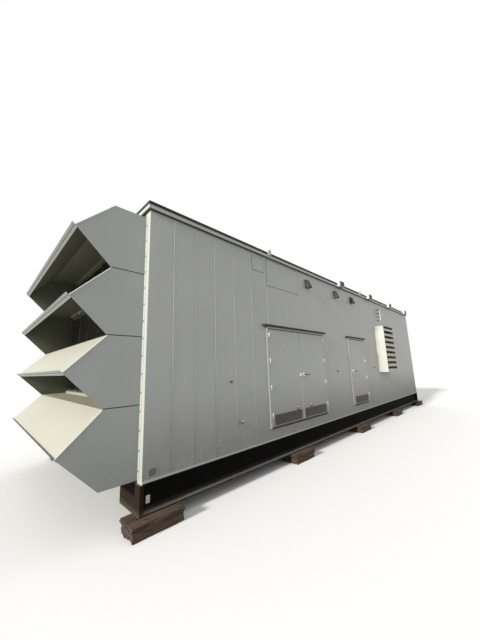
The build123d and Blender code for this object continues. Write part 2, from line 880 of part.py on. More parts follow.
# Small fittings of the front: round bosses, a drain tap and an upright bar on four arms
with BuildPart() as wall_fittings:
    with BuildSketch(Plane.XZ.offset(-front_y)):
        with Locations([(left_x + x, deck_z + z) for x, z in boss_places]):
            Circle(boss_radius)
    extrude(amount=boss_depth)
    with BuildSketch(Plane.XZ.offset(-front_y)):
        with Locations((left_x + tap_place[0], deck_z + tap_place[1])):
            Circle(boss_radius / 2)
    extrude(amount=tap_reach)
    bracket_x = left_x + bracket_place[0]
    bracket_z = deck_z + bracket_place[1]
    with Locations((bracket_x, front_y - bracket_depth, bracket_z)):
        Box(bracket_width, bracket_bar, bracket_height, align=corner)
    arm_pitch = (bracket_height - arm_height) / (bracket_arms - 1)
    for i in range(bracket_arms):
        with Locations((bracket_x, front_y, bracket_z + i * arm_pitch)):
            Box(
                bracket_width,
                bracket_depth - bracket_bar,
                arm_height,
                align=(Align.MIN, Align.MAX, Align.MIN),
            )
wall_fittings.part.label = "wall_fittings"
export_step(wall_fittings.part, "parts/wall_fittings.step")

# Lifting lugs on both long sides of the roof edge
with BuildPart() as lifting_lugs:
    for side_y, outward in ((front_y - trim_overhang, 1), (back_y + trim_overhang, -1)):
        for lug_x in lug_xs:
            with BuildSketch(Plane.XZ.offset(-side_y)):
                with Locations((lug_x, roof_top_z)):
                    Rectangle(lug_width, lug_height)
                    chamfer(vertices().group_by(Axis.Y)[-1], lug_corner)
                    Circle(lug_hole_radius, mode=Mode.SUBTRACT)
            extrude(amount=outward * lug_thickness)
lifting_lugs.part.label = "lifting_lugs"
export_step(lifting_lugs.part, "parts/lifting_lugs.step")

# Slotted boxes on the front roof edge
with BuildPart() as roof_edge_boxes:
    for inset in boxes_from_right:
        box_x = right_x - inset
        with Locations((box_x, front_y - trim_overhang, eave_z)):
            Box(box_length, box_depth, box_height, align=(Align.CENTER, Align.MAX, Align.MIN))
        slot_pitch = (box_height - box_slot_height) / 2
        for slot_z in (eave_z + slot_pitch / 2, eave_z + slot_pitch * 1.5):
            with Locations((box_x, front_y - trim_overhang - box_depth, slot_z)):
                Box(
                    box_length - 2 * box_slot_margin,
                    box_slot_depth,
                    box_slot_height,
                    align=(Align.CENTER, Align.MIN, Align.MIN),
                    mode=Mode.SUBTRACT,
                )
roof_edge_boxes.part.label = "roof_edge_boxes"
export_step(roof_edge_boxes.part, "parts/roof_edge_boxes.step")
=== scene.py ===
from math import cos, pi, radians, sin, sqrt

import bmesh
import bpy
import numpy as np
from mathutils import Matrix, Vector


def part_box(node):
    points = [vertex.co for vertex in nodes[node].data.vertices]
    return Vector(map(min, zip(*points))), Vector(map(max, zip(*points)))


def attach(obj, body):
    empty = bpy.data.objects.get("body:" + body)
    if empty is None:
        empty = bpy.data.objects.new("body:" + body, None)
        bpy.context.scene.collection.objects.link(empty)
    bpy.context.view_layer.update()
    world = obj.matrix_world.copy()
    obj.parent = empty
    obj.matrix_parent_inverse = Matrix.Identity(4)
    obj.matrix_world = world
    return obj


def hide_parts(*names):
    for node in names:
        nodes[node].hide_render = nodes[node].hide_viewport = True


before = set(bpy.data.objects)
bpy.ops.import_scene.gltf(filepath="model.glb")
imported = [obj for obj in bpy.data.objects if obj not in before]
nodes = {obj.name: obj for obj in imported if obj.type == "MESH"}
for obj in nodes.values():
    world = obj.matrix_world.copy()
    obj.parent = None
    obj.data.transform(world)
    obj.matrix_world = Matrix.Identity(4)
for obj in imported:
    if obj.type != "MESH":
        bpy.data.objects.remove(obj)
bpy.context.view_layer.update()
rng = np.random.default_rng(11)  # every random draw comes from here, in the same order each run


# measures of the frame
# low and high corner of a node as arrays
def corners(node):
    low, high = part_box(node)
    return np.array(low), np.array(high)


wallLow, wallHigh = corners("front_wall_left")
leftX, frontY, deckZ, eaveZ = wallLow[0], wallLow[1], wallLow[2], wallHigh[2]
rightX, backY = corners("right_end_wall")[1][:2]
roofLow, roofHigh = corners("roof_panel")
hoodLow, hoodHigh = corners("hood_side_panels")
bladeFront = corners("louvre_blades")[0][1]
print("frame loaded,", len(nodes), "nodes")


# sRGB hex to linear light: c / 12.92 up to 0.04045, above it ((c + 0.055) / 1.055) ^ 2.4
def colour(code):
    channel = np.array([int(code[i:i + 2], 16) for i in (1, 3, 5)]) / 255
    light = np.where(channel <= 0.04045, channel / 12.92, ((channel + 0.055) / 1.055) ** 2.4)
    return (*light.tolist(), 1.0)


# adds one node: settings are its own options; an input takes a value, a hex colour, a socket to
# link, or another node, whose first output in use is linked
def addNode(tree, kind, settings=None, inputs=None):
    node = tree.nodes.new("ShaderNode" + kind)
    for key, value in (settings or {}).items():
        setattr(node, key, value)
    for key, value in (inputs or {}).items():
        if isinstance(value, bpy.types.Node):
            value = next(socket for socket in value.outputs if socket.enabled)
        if isinstance(value, bpy.types.NodeSocket):
            tree.links.new(value, node.inputs[key])
        else:
            node.inputs[key].default_value = colour(value) if isinstance(value, str) else value
    return node


# an empty finish: its node tree, its surface shader and the object's own coordinates in metres
def newFinish(name, metallic, roughness, ior=None):
    finish = bpy.data.materials.new(name)
    finish.use_nodes = True
    tree = finish.node_tree
    tree.nodes.clear()
    shader = addNode(tree, "BsdfPrincipled", None, {"Metallic": metallic, "Roughness": roughness})
    if ior:
        shader.inputs["IOR"].default_value = ior
    addNode(tree, "OutputMaterial", None, {"Surface": shader.outputs[0]})
    return finish, tree, shader, addNode(tree, "TexCoord").outputs["Object"]


# options of the nodes that come most often
mixTones = {"data_type": "RGBA"}
multiply = {"operation": "MULTIPLY"}
larger = {"operation": "MAXIMUM"}
below = {"operation": "LESS_THAN"}
above = {"operation": "GREATER_THAN"}


# Sprayed paint or powder coat on sheet steel. Broad soft mottling, faint runs of rain down
# the sheet, a tone towards the foot of upright faces (painted shade of the dark ground on pale
# paint, splashed dust on the black skid), dust that lies on what faces up, a few small chips,
# a slight orange peel and the shallow waves that flat sheet always has.
def paintedSheet(name, look):
    finish, tree, shader, place = newFinish(name, 0.0, look["roughness"], 1.5)
    shader.inputs["Specular IOR Level"].default_value = look["shine"]
    x, y, z = addNode(tree, "SeparateXYZ", None, {0: place}).outputs
    normal = addNode(tree, "NewGeometry").outputs["Normal"]
    normalX, normalY, normalZ = addNode(tree, "SeparateXYZ", None, {0: normal}).outputs

    # mottling and runs of rain
    broad = addNode(tree, "TexNoise", None, {
        "Vector": place, "Scale": 1 / look["mottleSize"], "Detail": 4.0, "Roughness": 0.6})
    mottle = addNode(tree, "MapRange", None, {"Value": broad, "From Min": 0.3, "From Max": 0.7})
    tone = addNode(tree, "Mix", mixTones, {0: mottle, 6: look["base"], 7: look["faded"]})
    narrow = addNode(tree, "Mapping", None, {
        "Vector": place, "Scale": (1 / look["runWidth"], 1 / look["runWidth"], 1 / look["runLength"])})
    runs = addNode(tree, "TexNoise", None, {
        "Vector": narrow, "Scale": 1.0, "Detail": 5.0, "Roughness": 0.55})
    runMask = addNode(tree, "MapRange", None, {
        "Value": runs, "From Min": 0.5, "From Max": 0.78, "To Max": look["runs"]})
    tone = addNode(tree, "Mix", mixTones, {0: runMask, 6: tone, 7: look["runColour"]})

    # upright faces take the grime tone towards the foot, painted shade of the dark ground on pale
    # paint and splashed dust on the black skid; and dust settled on what faces up
    grit = addNode(tree, "TexNoise", None, {
        "Vector": place, "Scale": 1 / look["gritSize"], "Detail": 8.0, "Roughness": 0.7})
    foot = addNode(tree, "MapRange", {"interpolation_type": "SMOOTHSTEP"}, {
        "Value": z, "From Min": look["shadeAndDustTop"], "From Max": look["shadeAndDustFoot"], "To Max": look["footShadeAndDust"]})
    footGrit = addNode(tree, "MapRange", None, {
        "Value": grit, "From Min": 0.35, "From Max": 0.65, "To Min": 0.8})
    upright = addNode(tree, "Math", below, {0: normalZ, 1: 0.35})
    footShadeAndDustMask = addNode(tree, "Math", multiply, {
        0: upright, 1: addNode(tree, "Math", multiply, {0: foot, 1: footGrit})})
    level = addNode(tree, "MapRange", None, {
        "Value": normalZ, "From Min": look["dustFrom"], "From Max": 0.98, "To Max": look["settled"]})
    levelGrit = addNode(tree, "MapRange", None, {
        "Value": grit, "From Min": 0.25, "From Max": 0.6, "To Min": 0.55})
    levelMask = addNode(tree, "Math", multiply, {0: level, 1: levelGrit})
    dustAndShadeMask = addNode(tree, "Math", larger, {0: footShadeAndDustMask, 1: levelMask})

    # painted shade: the inner tone darkens faces that look into a hood, and the undersides and backs of the
    # louvre blades
    if look["inner"]:  # faces that look into a hood: undersides of its cover, inner sides of its cheeks
        turnedDown = addNode(tree, "Math", below, {0: normalZ, 1: -0.3})
        under = addNode(tree, "Math", multiply, {
            0: turnedDown, 1: addNode(tree, "Math", above, {0: normalX, 1: -0.3})})
        inwards = addNode(tree, "Math", {"operation": "SUBTRACT"}, {0: look["middle"], 1: y})
        cheek = addNode(tree, "Math", above, {
            0: addNode(tree, "Math", multiply, {0: inwards, 1: normalY}), 1: 1.0})
        tone = addNode(tree, "Mix", mixTones, {
            0: addNode(tree, "Math", larger, {0: under, 1: cheek}), 6: tone, 7: look["inner"]})
        lip = addNode(tree, "Math", multiply, {  # faces turned down and out, such as the folded lip, in a darker tone
            0: turnedDown, 1: addNode(tree, "Math", below, {0: normalX, 1: -0.5})})
        tone = addNode(tree, "Mix", mixTones, {0: lip, 6: tone, 7: look["lip"]})
    if look["side"]:  # faces turned to the left end, towards the key light, in another tone: painted shade on the door frames, painted light on the lamps
        tone = addNode(tree, "Mix", mixTones, {
            0: addNode(tree, "Math", below, {0: normalX, 1: -0.6}), 6: tone, 7: look["side"]})
    if look["hoodShade"]:  # painted shade on what stands between the hoods' cheeks
        within = addNode(tree, "Math", multiply, {
            0: addNode(tree, "Math", above, {0: y, 1: hoodLow[1]}),
            1: addNode(tree, "Math", below, {0: y, 1: hoodHigh[1]})})
        tone = addNode(tree, "Mix", mixTones, {0: within, 6: tone, 7: look["hoodShade"]})
    if look["depthShade"]:  # painted shade, darker the further back it stands from the mouth of the louvre
        deep = addNode(tree, "MapRange", None, {
            "Value": y, "From Min": look["deepFrom"], "From Max": look["deepTo"]})
        tone = addNode(tree, "Mix", mixTones, {0: deep, 6: tone, 7: look["depthShade"]})
    if look["shadedMud"]:  # both ends of a rail, brown as dried mud with a ragged edge, painted dark as shade
        wander = addNode(tree, "Math", multiply, {
            0: addNode(tree, "Math", {"operation": "SUBTRACT"}, {0: grit, 1: 0.5}), 1: 0.06})
        raggedX = addNode(tree, "Math", {"operation": "ADD"}, {0: x, 1: wander})
        atEnd = addNode(tree, "Math", larger, {
            0: addNode(tree, "Math", below, {0: raggedX, 1: look["cakedEnds"][0]}),
            1: addNode(tree, "Math", above, {0: raggedX, 1: look["cakedEnds"][1]})})
        tone = addNode(tree, "Mix", mixTones, {
            0: addNode(tree, "Math", multiply, {0: atEnd, 1: 0.9}), 6: tone, 7: look["shadedMud"]})
    # towards the foot: painted shade on pale paint, dust on the black skid
    tone = addNode(tree, "Mix", mixTones, {0: footShadeAndDustMask, 6: tone, 7: look["grime"]})
    tone = addNode(tree, "Mix", mixTones, {0: levelMask, 6: tone, 7: look["dust"]})

    # chips: small spots in a few of the cells of a grid with a real pitch
    cells = addNode(tree, "TexVoronoi", None, {"Vector": place, "Scale": 1 / look["chipPitch"]})
    spot = addNode(tree, "Math", below, {
        0: cells.outputs["Distance"], 1: look["chipSize"] / look["chipPitch"]})
    chosen = addNode(tree, "Math", above, {
        0: addNode(tree, "SeparateColor", None, {0: cells.outputs["Color"]}), 1: 1 - look["chips"]})
    tone = addNode(tree, "Mix", mixTones, {
        0: addNode(tree, "Math", multiply, {0: spot, 1: chosen}), 6: tone, 7: look["chipColour"]})
    tree.links.new(tone.outputs[2], shader.inputs["Base Color"])

    # dust and the painted shade at the foot take the gloss away, and so does faded paint
    gloss = addNode(tree, "MapRange", None, {
        "Value": dustAndShadeMask, "To Min": look["roughness"], "To Max": 0.85})
    dull = addNode(tree, "MapRange", None, {
        "Value": broad, "From Min": 0.3, "From Max": 0.7, "To Min": 0.0, "To Max": 0.08})
    soft = addNode(tree, "Math", {"operation": "ADD"}, {0: gloss, 1: dull})
    tree.links.new(soft.outputs[0], shader.inputs["Roughness"])

    # waves of the sheet with orange peel over them
    waves = addNode(tree, "TexNoise", None, {"Vector": place, "Scale": 1 / look["waveSize"], "Detail": 1.0})
    wavy = addNode(tree, "Bump", None, {
        "Height": waves, "Strength": 1.0, "Distance": look["waveDepth"]})
    peel = addNode(tree, "TexNoise", None, {"Vector": place, "Scale": 1 / look["peelSize"], "Detail": 2.0})
    peeled = addNode(tree, "Bump", None, {
        "Height": peel, "Strength": 0.35, "Distance": 0.0006, "Normal": wavy})
    tree.links.new(peeled.outputs[0], shader.inputs["Normal"])
    return finish


# what a painted sheet shows unless its own look says otherwise; lengths in metres
plainLook = {
    # grime: the tone towards the foot of upright faces, painted shade of the dark ground
    "base": "#929490", "faded": "#989A96", "runColour": "#84827A", "dust": "#948A7C", "grime": "#565752",
    "chipColour": "#6E6A62", "roughness": 0.36, "shine": 0.5, "mottleSize": 1.6,
    "runWidth": 0.05, "runLength": 1.9, "runs": 0.14,
    "shadeAndDustTop": 2.1, "shadeAndDustFoot": 0.45, "footShadeAndDust": 0.7, "settled": 0.55, "dustFrom": 0.8, "gritSize": 1 / 9,
    "chipPitch": 0.35, "chipSize": 0.006, "chips": 0.1,
    "waveSize": 1.1, "waveDepth": 0.006, "peelSize": 0.012,
    "inner": None, "hoodShade": None, "depthShade": None, "side": None, "shadedMud": None,
    "middle": (frontY + backY) / 2, "cakedEnds": (leftX + 0.04, rightX - 0.04)}

wallPaint = paintedSheet("polyurethaneGlossOnSheet", plainLook)  # even pale grey with a soft shine
hoodPaint = paintedSheet("powderCoatGreyOnSheet", plainLook | {  # cooler, a touch less gloss, painted shade inside the hoods
    "base": "#898D8A", "faded": "#909491", "roughness": 0.4, "waveSize": 0.8, "waveDepth": 0.004,
    "dust": "#8D8268", "settled": 0.9, "dustFrom": 0.45, "footShadeAndDust": 0.45, "runs": 0.1, "chips": 0.06,
    "inner": "#666A5B", "lip": "#777A74"})
trimPaint = paintedSheet("powderCoatPaleTrim", plainLook | {  # light folded trims, dusty on top
    "base": "#969893", "faded": "#9C9E99", "roughness": 0.42, "mottleSize": 0.6, "footShadeAndDust": 0.25,
    "runs": 0.2})
jambPaint = paintedSheet("doorFramePaint", plainLook | {  # door frames, with painted shade on their left sides
    "base": "#969893", "faded": "#9C9E99", "roughness": 0.42, "mottleSize": 0.6, "footShadeAndDust": 0.45,
    "runs": 0.2, "side": "#7F817B"})
framePaint = paintedSheet("endFramePaint", plainLook | {  # palest at the corner, painted shade inside the hoods
    "base": "#9A9C98", "faded": "#A0A29D", "hoodShade": "#55574E", "footShadeAndDust": 0.3})
railPaint = paintedSheet("endRailPaint", plainLook | {  # sills of the air openings, dusty but pale
    "base": "#8C8E86", "faded": "#94968E", "roughness": 0.5, "footShadeAndDust": 0.0, "runs": 0.3, "dustFrom": 0.97})
hemHighlightPaint = paintedSheet("hemHighlightFinish", plainLook | {  # hems of the hood sides, painted near white as a highlight of their lit edges
    "base": "#D4D5CF", "faded": "#DADBD5", "roughness": 0.4, "mottleSize": 0.3, "footShadeAndDust": 0.3, "runs": 0.1,
    "dust": "#A7A08E"})
paleJointHighlight = paintedSheet("paleJointBeadHighlight", plainLook | {  # beads over the joints, a touch paler as a painted highlight of their lit edges
    "base": "#A4A6A2", "faded": "#AAACA8", "footShadeAndDust": 0.85, "mottleSize": 0.7, "runs": 0.1})
jointHighlight = paintedSheet("highlightJointBead", plainLook | {  # the two beads painted nearly white as a highlight of their lit edges
    "base": "#B8BAB5", "faded": "#C0C2BD", "footShadeAndDust": 0.9, "shadeAndDustTop": 3.0, "grime": "#646560",
    "mottleSize": 0.7, "runs": 0.1})
capPaint = paintedSheet("darkDripCapPaint", plainLook | {  # drip caps over the doors, near black
    "base": "#242321", "faded": "#2C2B28", "roughness": 0.6, "footShadeAndDust": 0.0, "shine": 0.2,
    "waveDepth": 0.0005})
louvrePaint = paintedSheet("powderCoatCream", plainLook | {  # off-white, clean, with thin rain runs
    "base": "#999A93", "faded": "#9FA099", "roughness": 0.4, "mottleSize": 0.5, "footShadeAndDust": 0.0,
    "runs": 0.2, "runWidth": 0.02, "waveDepth": 0.001})
bladePaint = paintedSheet("dustyBladePaint", plainLook | {  # the same cream on the blades, with painted shade below, behind and deeper in
    "base": "#9A988E", "faded": "#A09E94", "roughness": 0.5, "mottleSize": 0.3, "footShadeAndDust": 0.0,
    "runs": 0.3, "runWidth": 0.02, "waveDepth": 0.0005, "inner": "#1A1917", "lip": "#1A1917",
    "depthShade": "#0C0C0B", "deepFrom": bladeFront + 0.01, "deepTo": bladeFront + 0.075})
roofPaint = paintedSheet("bitumenRoofCoating", plainLook | {  # matt black, grey with settled dust
    "base": "#1A1A1B", "faded": "#232324", "runColour": "#32302D", "dust": "#6F675B",
    "chipColour": "#3A3732", "roughness": 0.65, "shine": 0.2, "mottleSize": 0.9, "footShadeAndDust": 0.0,
    "peelSize": 0.006, "waveDepth": 0.003})
skidPaint = paintedSheet("chassisEnamelBlack", plainLook | {  # near black, mud dust on each ledge
    "base": "#060606", "faded": "#0B0B0A", "runColour": "#1E1B17", "dust": "#726E66",
    "chipColour": "#3A2A1E", "grime": "#5F5A52", "shadedMud": "#241C14", "roughness": 0.75, "shine": 0.04,
    "mottleSize": 0.5, "runs": 0.3, "runWidth": 0.03, "runLength": 0.25, "shadeAndDustTop": 0.3,
    "shadeAndDustFoot": 0.19, "footShadeAndDust": 0.3, "settled": 0.95, "chips": 0.35, "chipPitch": 0.12,
    "waveDepth": 0.002})
bronzeEnamel = paintedSheet("bronzeStoveEnamel", plainLook | {  # dark satin brown-grey, with painted light on the faces turned to the left
    "base": "#2C2B29", "faded": "#353431", "runColour": "#59564F", "dust": "#7E7566",
    "chipColour": "#7B776E", "side": "#3A3935", "roughness": 0.42, "shine": 0.15, "mottleSize": 0.2,
    "footShadeAndDust": 0.0, "runWidth": 0.01, "runLength": 0.1, "runs": 0.4, "waveDepth": 0.0005})
fittingEnamel = paintedSheet("darkCastFittings", plainLook | {  # cast glands and taps, dull dark
    "base": "#22211F", "faded": "#2B2A28", "roughness": 0.55, "mottleSize": 0.05, "footShadeAndDust": 0.0,
    "waveDepth": 0.0004, "peelSize": 0.004})


# Bare metal hardware: fine rubbed grain along one way, cloudy tarnish, brighter rubbed patches.
def bareMetal(name, look):
    finish, tree, shader, place = newFinish(name, 1.0, look["roughness"])
    grain = addNode(tree, "Mapping", None, {
        "Vector": place, "Scale": tuple(1 / size for size in look["grain"])})
    lines = addNode(tree, "TexNoise", None, {"Vector": grain, "Scale": 1.0, "Detail": 4.0})
    cloud = addNode(tree, "TexNoise", None, {
        "Vector": place, "Scale": 1 / look["cloudSize"], "Detail": 5.0, "Roughness": 0.65})
    tarnish = addNode(tree, "MapRange", None, {
        "Value": cloud, "From Min": 0.42, "From Max": 0.72, "To Max": look["tarnish"]})
    tone = addNode(tree, "Mix", mixTones, {0: tarnish, 6: look["base"], 7: look["dark"]})
    tree.links.new(tone.outputs[2], shader.inputs["Base Color"])
    rubbed = addNode(tree, "MapRange", None, {
        "Value": lines, "From Min": 0.3, "From Max": 0.7,
        "To Min": look["roughness"] - 0.08, "To Max": look["roughness"] + 0.16})
    tree.links.new(rubbed.outputs[0], shader.inputs["Roughness"])
    bump = addNode(tree, "Bump", None, {"Height": lines, "Strength": 0.3, "Distance": look["depth"]})
    tree.links.new(bump.outputs[0], shader.inputs["Normal"])
    return finish


plainMetal = {  # lengths in metres
    "base": "#D6D6D2", "dark": "#9A9892", "roughness": 0.4, "grain": (0.08, 0.004, 0.004),
    "cloudSize": 0.03, "tarnish": 0.6, "depth": 0.0003}
zincPlate = bareMetal("zincPlatedHardware", plainMetal)  # bright screws, bolts and hinge barrels
dullZinc = bareMetal("dullZincHinges", plainMetal | {  # hinge halves on the frame, their shine gone
    "base": "#A5A5A0", "dark": "#7C7A74", "roughness": 0.5})
satinSteel = bareMetal("satinStainless", plainMetal | {  # lock cylinders, even soft shine
    "base": "#D2D1CD", "roughness": 0.28, "tarnish": 0.25, "grain": (0.06, 0.003, 0.003)})
millAluminium = bareMetal("millAluminium", plainMetal | {  # the bare plate on the skid, dull and pale
    "base": "#A9A8A3", "dark": "#77756E", "roughness": 0.45, "tarnish": 0.5, "cloudSize": 0.08})
weatheredZinc = bareMetal("weatheredZincBolts", plainMetal | {  # bolts gone dark and dull outdoors
    "base": "#75736C", "dark": "#4A4842", "roughness": 0.55, "cloudSize": 0.01, "tarnish": 0.9})
print("painted and bare metals made")


# Kick plates and thresholds: dark rolled steel rubbed by boots, long scratches along the plate
# and brown dust that hangs in the middle.
def scuffedSteel(name, look):
    finish, tree, shader, place = newFinish(name, 0.0, look["roughness"], 1.5)
    along = addNode(tree, "Mapping", None, {
        "Vector": place, "Scale": (1 / look["scratchLength"],) * 2 + (1 / look["scratchWidth"],)})
    scratch = addNode(tree, "TexNoise", None, {
        "Vector": along, "Scale": 1.0, "Detail": 6.0, "Roughness": 0.7})
    cloud = addNode(tree, "TexNoise", None, {
        "Vector": place, "Scale": 1 / look["dirtSize"], "Detail": 6.0, "Roughness": 0.65})
    dirt = addNode(tree, "MapRange", None, {
        "Value": cloud, "From Min": 0.4, "From Max": 0.66, "To Max": 0.75})
    tone = addNode(tree, "Mix", mixTones, {0: dirt, 6: look["base"], 7: look["dirt"]})
    marks = addNode(tree, "MapRange", None, {
        "Value": scratch, "From Min": 0.56, "From Max": 0.72, "To Max": 0.5})
    tone = addNode(tree, "Mix", mixTones, {0: marks, 6: tone, 7: look["scratch"]})
    tree.links.new(tone.outputs[2], shader.inputs["Base Color"])
    bump = addNode(tree, "Bump", None, {"Height": scratch, "Strength": 0.4, "Distance": look["depth"]})
    tree.links.new(bump.outputs[0], shader.inputs["Normal"])
    return finish


rolledSteel = {  # lengths in metres
    "base": "#302826", "dirt": "#3B312C", "scratch": "#59504C", "roughness": 0.65,
    "scratchLength": 0.5, "scratchWidth": 1 / 90, "dirtSize": 1 / 7, "depth": 0.0006}
kickSteel = scuffedSteel("scuffedRolledSteel", rolledSteel)  # warm near-black with paler rubbed lines
scuffedSill = scuffedSteel("scuffedSillSteel", rolledSteel | {  # thresholds, darker and dirtier still
    "base": "#282523", "dirt": "#38322D", "scratch": "#5A5551", "roughness": 0.6})


# Chequer plate: raised lozenges set crosswise 28 mm apart, worn paler on their tops.
def chequerPlate(look):
    finish, tree, shader, place = newFinish("chequerPlatePaint", 0.0, look["roughness"], 1.5)
    turnedPlace = addNode(tree, "Mapping", None, {
        "Vector": place, "Rotation": (0.0, 0.0, pi / 4), "Scale": (1 / look["pitch"],) * 3})
    bars = addNode(tree, "TexBrick", {"offset": 0.5}, {
        "Vector": turnedPlace, "Scale": 1.0, "Mortar Size": 0.3, "Mortar Smooth": 0.4,
        "Brick Width": 1.0, "Row Height": 0.6})
    tone = addNode(tree, "Mix", mixTones, {0: bars.outputs["Fac"], 6: look["worn"], 7: look["base"]})
    grime = addNode(tree, "TexNoise", None, {"Vector": place, "Scale": 1 / look["dustSize"], "Detail": 7.0})
    dusty = addNode(tree, "MapRange", None, {
        "Value": grime, "From Min": 0.4, "From Max": 0.7, "To Max": 0.6})
    tone = addNode(tree, "Mix", mixTones, {0: dusty, 6: tone, 7: look["dust"]})
    tree.links.new(tone.outputs[2], shader.inputs["Base Color"])
    bump = addNode(tree, "Bump", {"invert": True}, {
        "Height": bars.outputs["Fac"], "Strength": 0.8, "Distance": look["rise"]})
    tree.links.new(bump.outputs[0], shader.inputs["Normal"])
    return finish


floorPaint = chequerPlate({
    "base": "#4C4D4D", "worn": "#6E6F6E", "dust": "#7D7466", "roughness": 0.55, "pitch": 0.028,
    "rise": 0.002, "dustSize": 1 / 3})


# Weathered sawn softwood: silver-brown grain along the timber, dark drying cracks, mud at the
# foot and darker sawn ends. All its tones are taken partway darker as painted shade.
def sawnTimber(look):
    finish, tree, shader, place = newFinish("weatheredSawnSoftwood", 0.0, 0.85, 1.45)
    height = addNode(tree, "SeparateXYZ", None, {0: place}).outputs[2]
    normal = addNode(tree, "NewGeometry").outputs["Normal"]
    normalX = addNode(tree, "SeparateXYZ", None, {0: normal}).outputs[0]
    grainPlace = addNode(tree, "Mapping", None, {
        "Vector": place, "Scale": (1 / look["grainLength"],) + (1 / look["grainWidth"],) * 2})
    grain = addNode(tree, "TexNoise", None, {
        "Vector": grainPlace, "Scale": 1.0, "Detail": 6.0, "Roughness": 0.7, "Distortion": 0.4})
    fibres = addNode(tree, "MapRange", None, {"Value": grain, "From Min": 0.32, "From Max": 0.68})
    tone = addNode(tree, "Mix", mixTones, {0: fibres, 6: look["dark"], 7: look["pale"]})
    cloud = addNode(tree, "TexNoise", None, {"Vector": place, "Scale": 1 / look["cloudSize"], "Detail": 4.0})
    bleached = addNode(tree, "MapRange", None, {
        "Value": cloud, "From Min": 0.35, "From Max": 0.65, "To Max": 0.6})
    tone = addNode(tree, "Mix", mixTones, {0: bleached, 6: tone, 7: look["silver"]})
    crackPlace = addNode(tree, "Mapping", None, {
        "Vector": place, "Scale": (1 / look["crackLength"],) + (1 / look["crackPitch"],) * 2})
    crack = addNode(tree, "TexVoronoi", {"feature": "DISTANCE_TO_EDGE"}, {
        "Vector": crackPlace, "Scale": 1.0, "Randomness": 1.0})
    crackMask = addNode(tree, "MapRange", None, {
        "Value": crack.outputs["Distance"], "From Min": 0.08, "From Max": 0.02, "To Max": 0.85})
    tone = addNode(tree, "Mix", mixTones, {0: crackMask, 6: tone, 7: look["crack"]})
    sawnEnd = addNode(tree, "MapRange", None, {
        "Value": addNode(tree, "Math", {"operation": "ABSOLUTE"}, {0: normalX}),
        "From Min": 0.6, "From Max": 0.9, "To Max": 0.7})
    tone = addNode(tree, "Mix", mixTones, {0: sawnEnd, 6: tone, 7: look["end"]})
    mud = addNode(tree, "MapRange", None, {
        "Value": height, "From Min": look["mudTop"], "From Max": 0.0, "To Max": 0.8})
    tone = addNode(tree, "Mix", mixTones, {0: mud, 6: tone, 7: look["mud"]})
    tree.links.new(tone.outputs[2], shader.inputs["Base Color"])
    deep = addNode(tree, "Bump", {"invert": True}, {
        "Height": crackMask, "Strength": 0.9, "Distance": look["crackDepth"]})
    fine = addNode(tree, "Bump", None, {
        "Height": grain, "Strength": 0.7, "Distance": look["grainDepth"], "Normal": deep})
    tree.links.new(fine.outputs[0], shader.inputs["Normal"])
    return finish


timber = sawnTimber({  # lengths in metres
    "pale": "#5A4636", "dark": "#251A10", "silver": "#4E3D30", "crack": "#0C0805", "end": "#2E2218",
    "mud": "#382B1F", "grainLength": 0.35, "grainWidth": 0.012, "grainDepth": 0.002, "cloudSize": 0.25,
    "crackLength": 1 / 1.5, "crackPitch": 1 / 22, "crackDepth": 0.004, "mudTop": 0.09})


# Insect screen behind the louvres and over the vents of the roof-edge boxes: black wire cloth with
# caught lint, its weave drawn 6 mm coarse so that it shows.
def wireCloth(look):
    finish, tree, shader, place = newFinish("blackWireCloth", 0.0, 0.8, 1.5)
    shader.inputs["Specular IOR Level"].default_value = 0.2
    weave = addNode(tree, "Mapping", None, {"Vector": place, "Scale": (1 / look["pitch"],) * 3})
    cells = addNode(tree, "TexChecker", None, {
        "Vector": weave, "Scale": 1.0, "Color1": look["hole"], "Color2": look["wire"]})
    lint = addNode(tree, "TexNoise", None, {"Vector": place, "Scale": 1 / look["lintSize"], "Detail": 5.0})
    caught = addNode(tree, "MapRange", None, {
        "Value": lint, "From Min": 0.5, "From Max": 0.75, "To Max": 0.5})
    tone = addNode(tree, "Mix", mixTones, {0: caught, 6: cells, 7: look["lint"]})
    tree.links.new(tone.outputs[2], shader.inputs["Base Color"])
    bump = addNode(tree, "Bump", None, {"Height": cells.outputs["Fac"], "Strength": 0.5, "Distance": 0.001})
    tree.links.new(bump.outputs[0], shader.inputs["Normal"])
    return finish


screenCloth = wireCloth({
    "hole": "#0B0B0A", "wire": "#171716", "lint": "#24221E", "pitch": 0.006, "lintSize": 1 / 6})


# Soft fillers: rubber, sealant, film and moulded plastic. Cloudy tone, dust in the hollows and
# a faint skin of bumps.
def softFiller(name, look):
    finish, tree, shader, place = newFinish(name, 0.0, look["roughness"], look["ior"])
    cloud = addNode(tree, "TexNoise", None, {
        "Vector": place, "Scale": 1 / look["cloudSize"], "Detail": 6.0, "Roughness": 0.7})
    bloom = addNode(tree, "MapRange", None, {"Value": cloud, "From Min": 0.35, "From Max": 0.68})
    tone = addNode(tree, "Mix", mixTones, {0: bloom, 6: look["base"], 7: look["dusty"]})
    tree.links.new(tone.outputs[2], shader.inputs["Base Color"])
    bump = addNode(tree, "Bump", None, {"Height": cloud, "Strength": 0.4, "Distance": look["depth"]})
    tree.links.new(bump.outputs[0], shader.inputs["Normal"])
    return finish


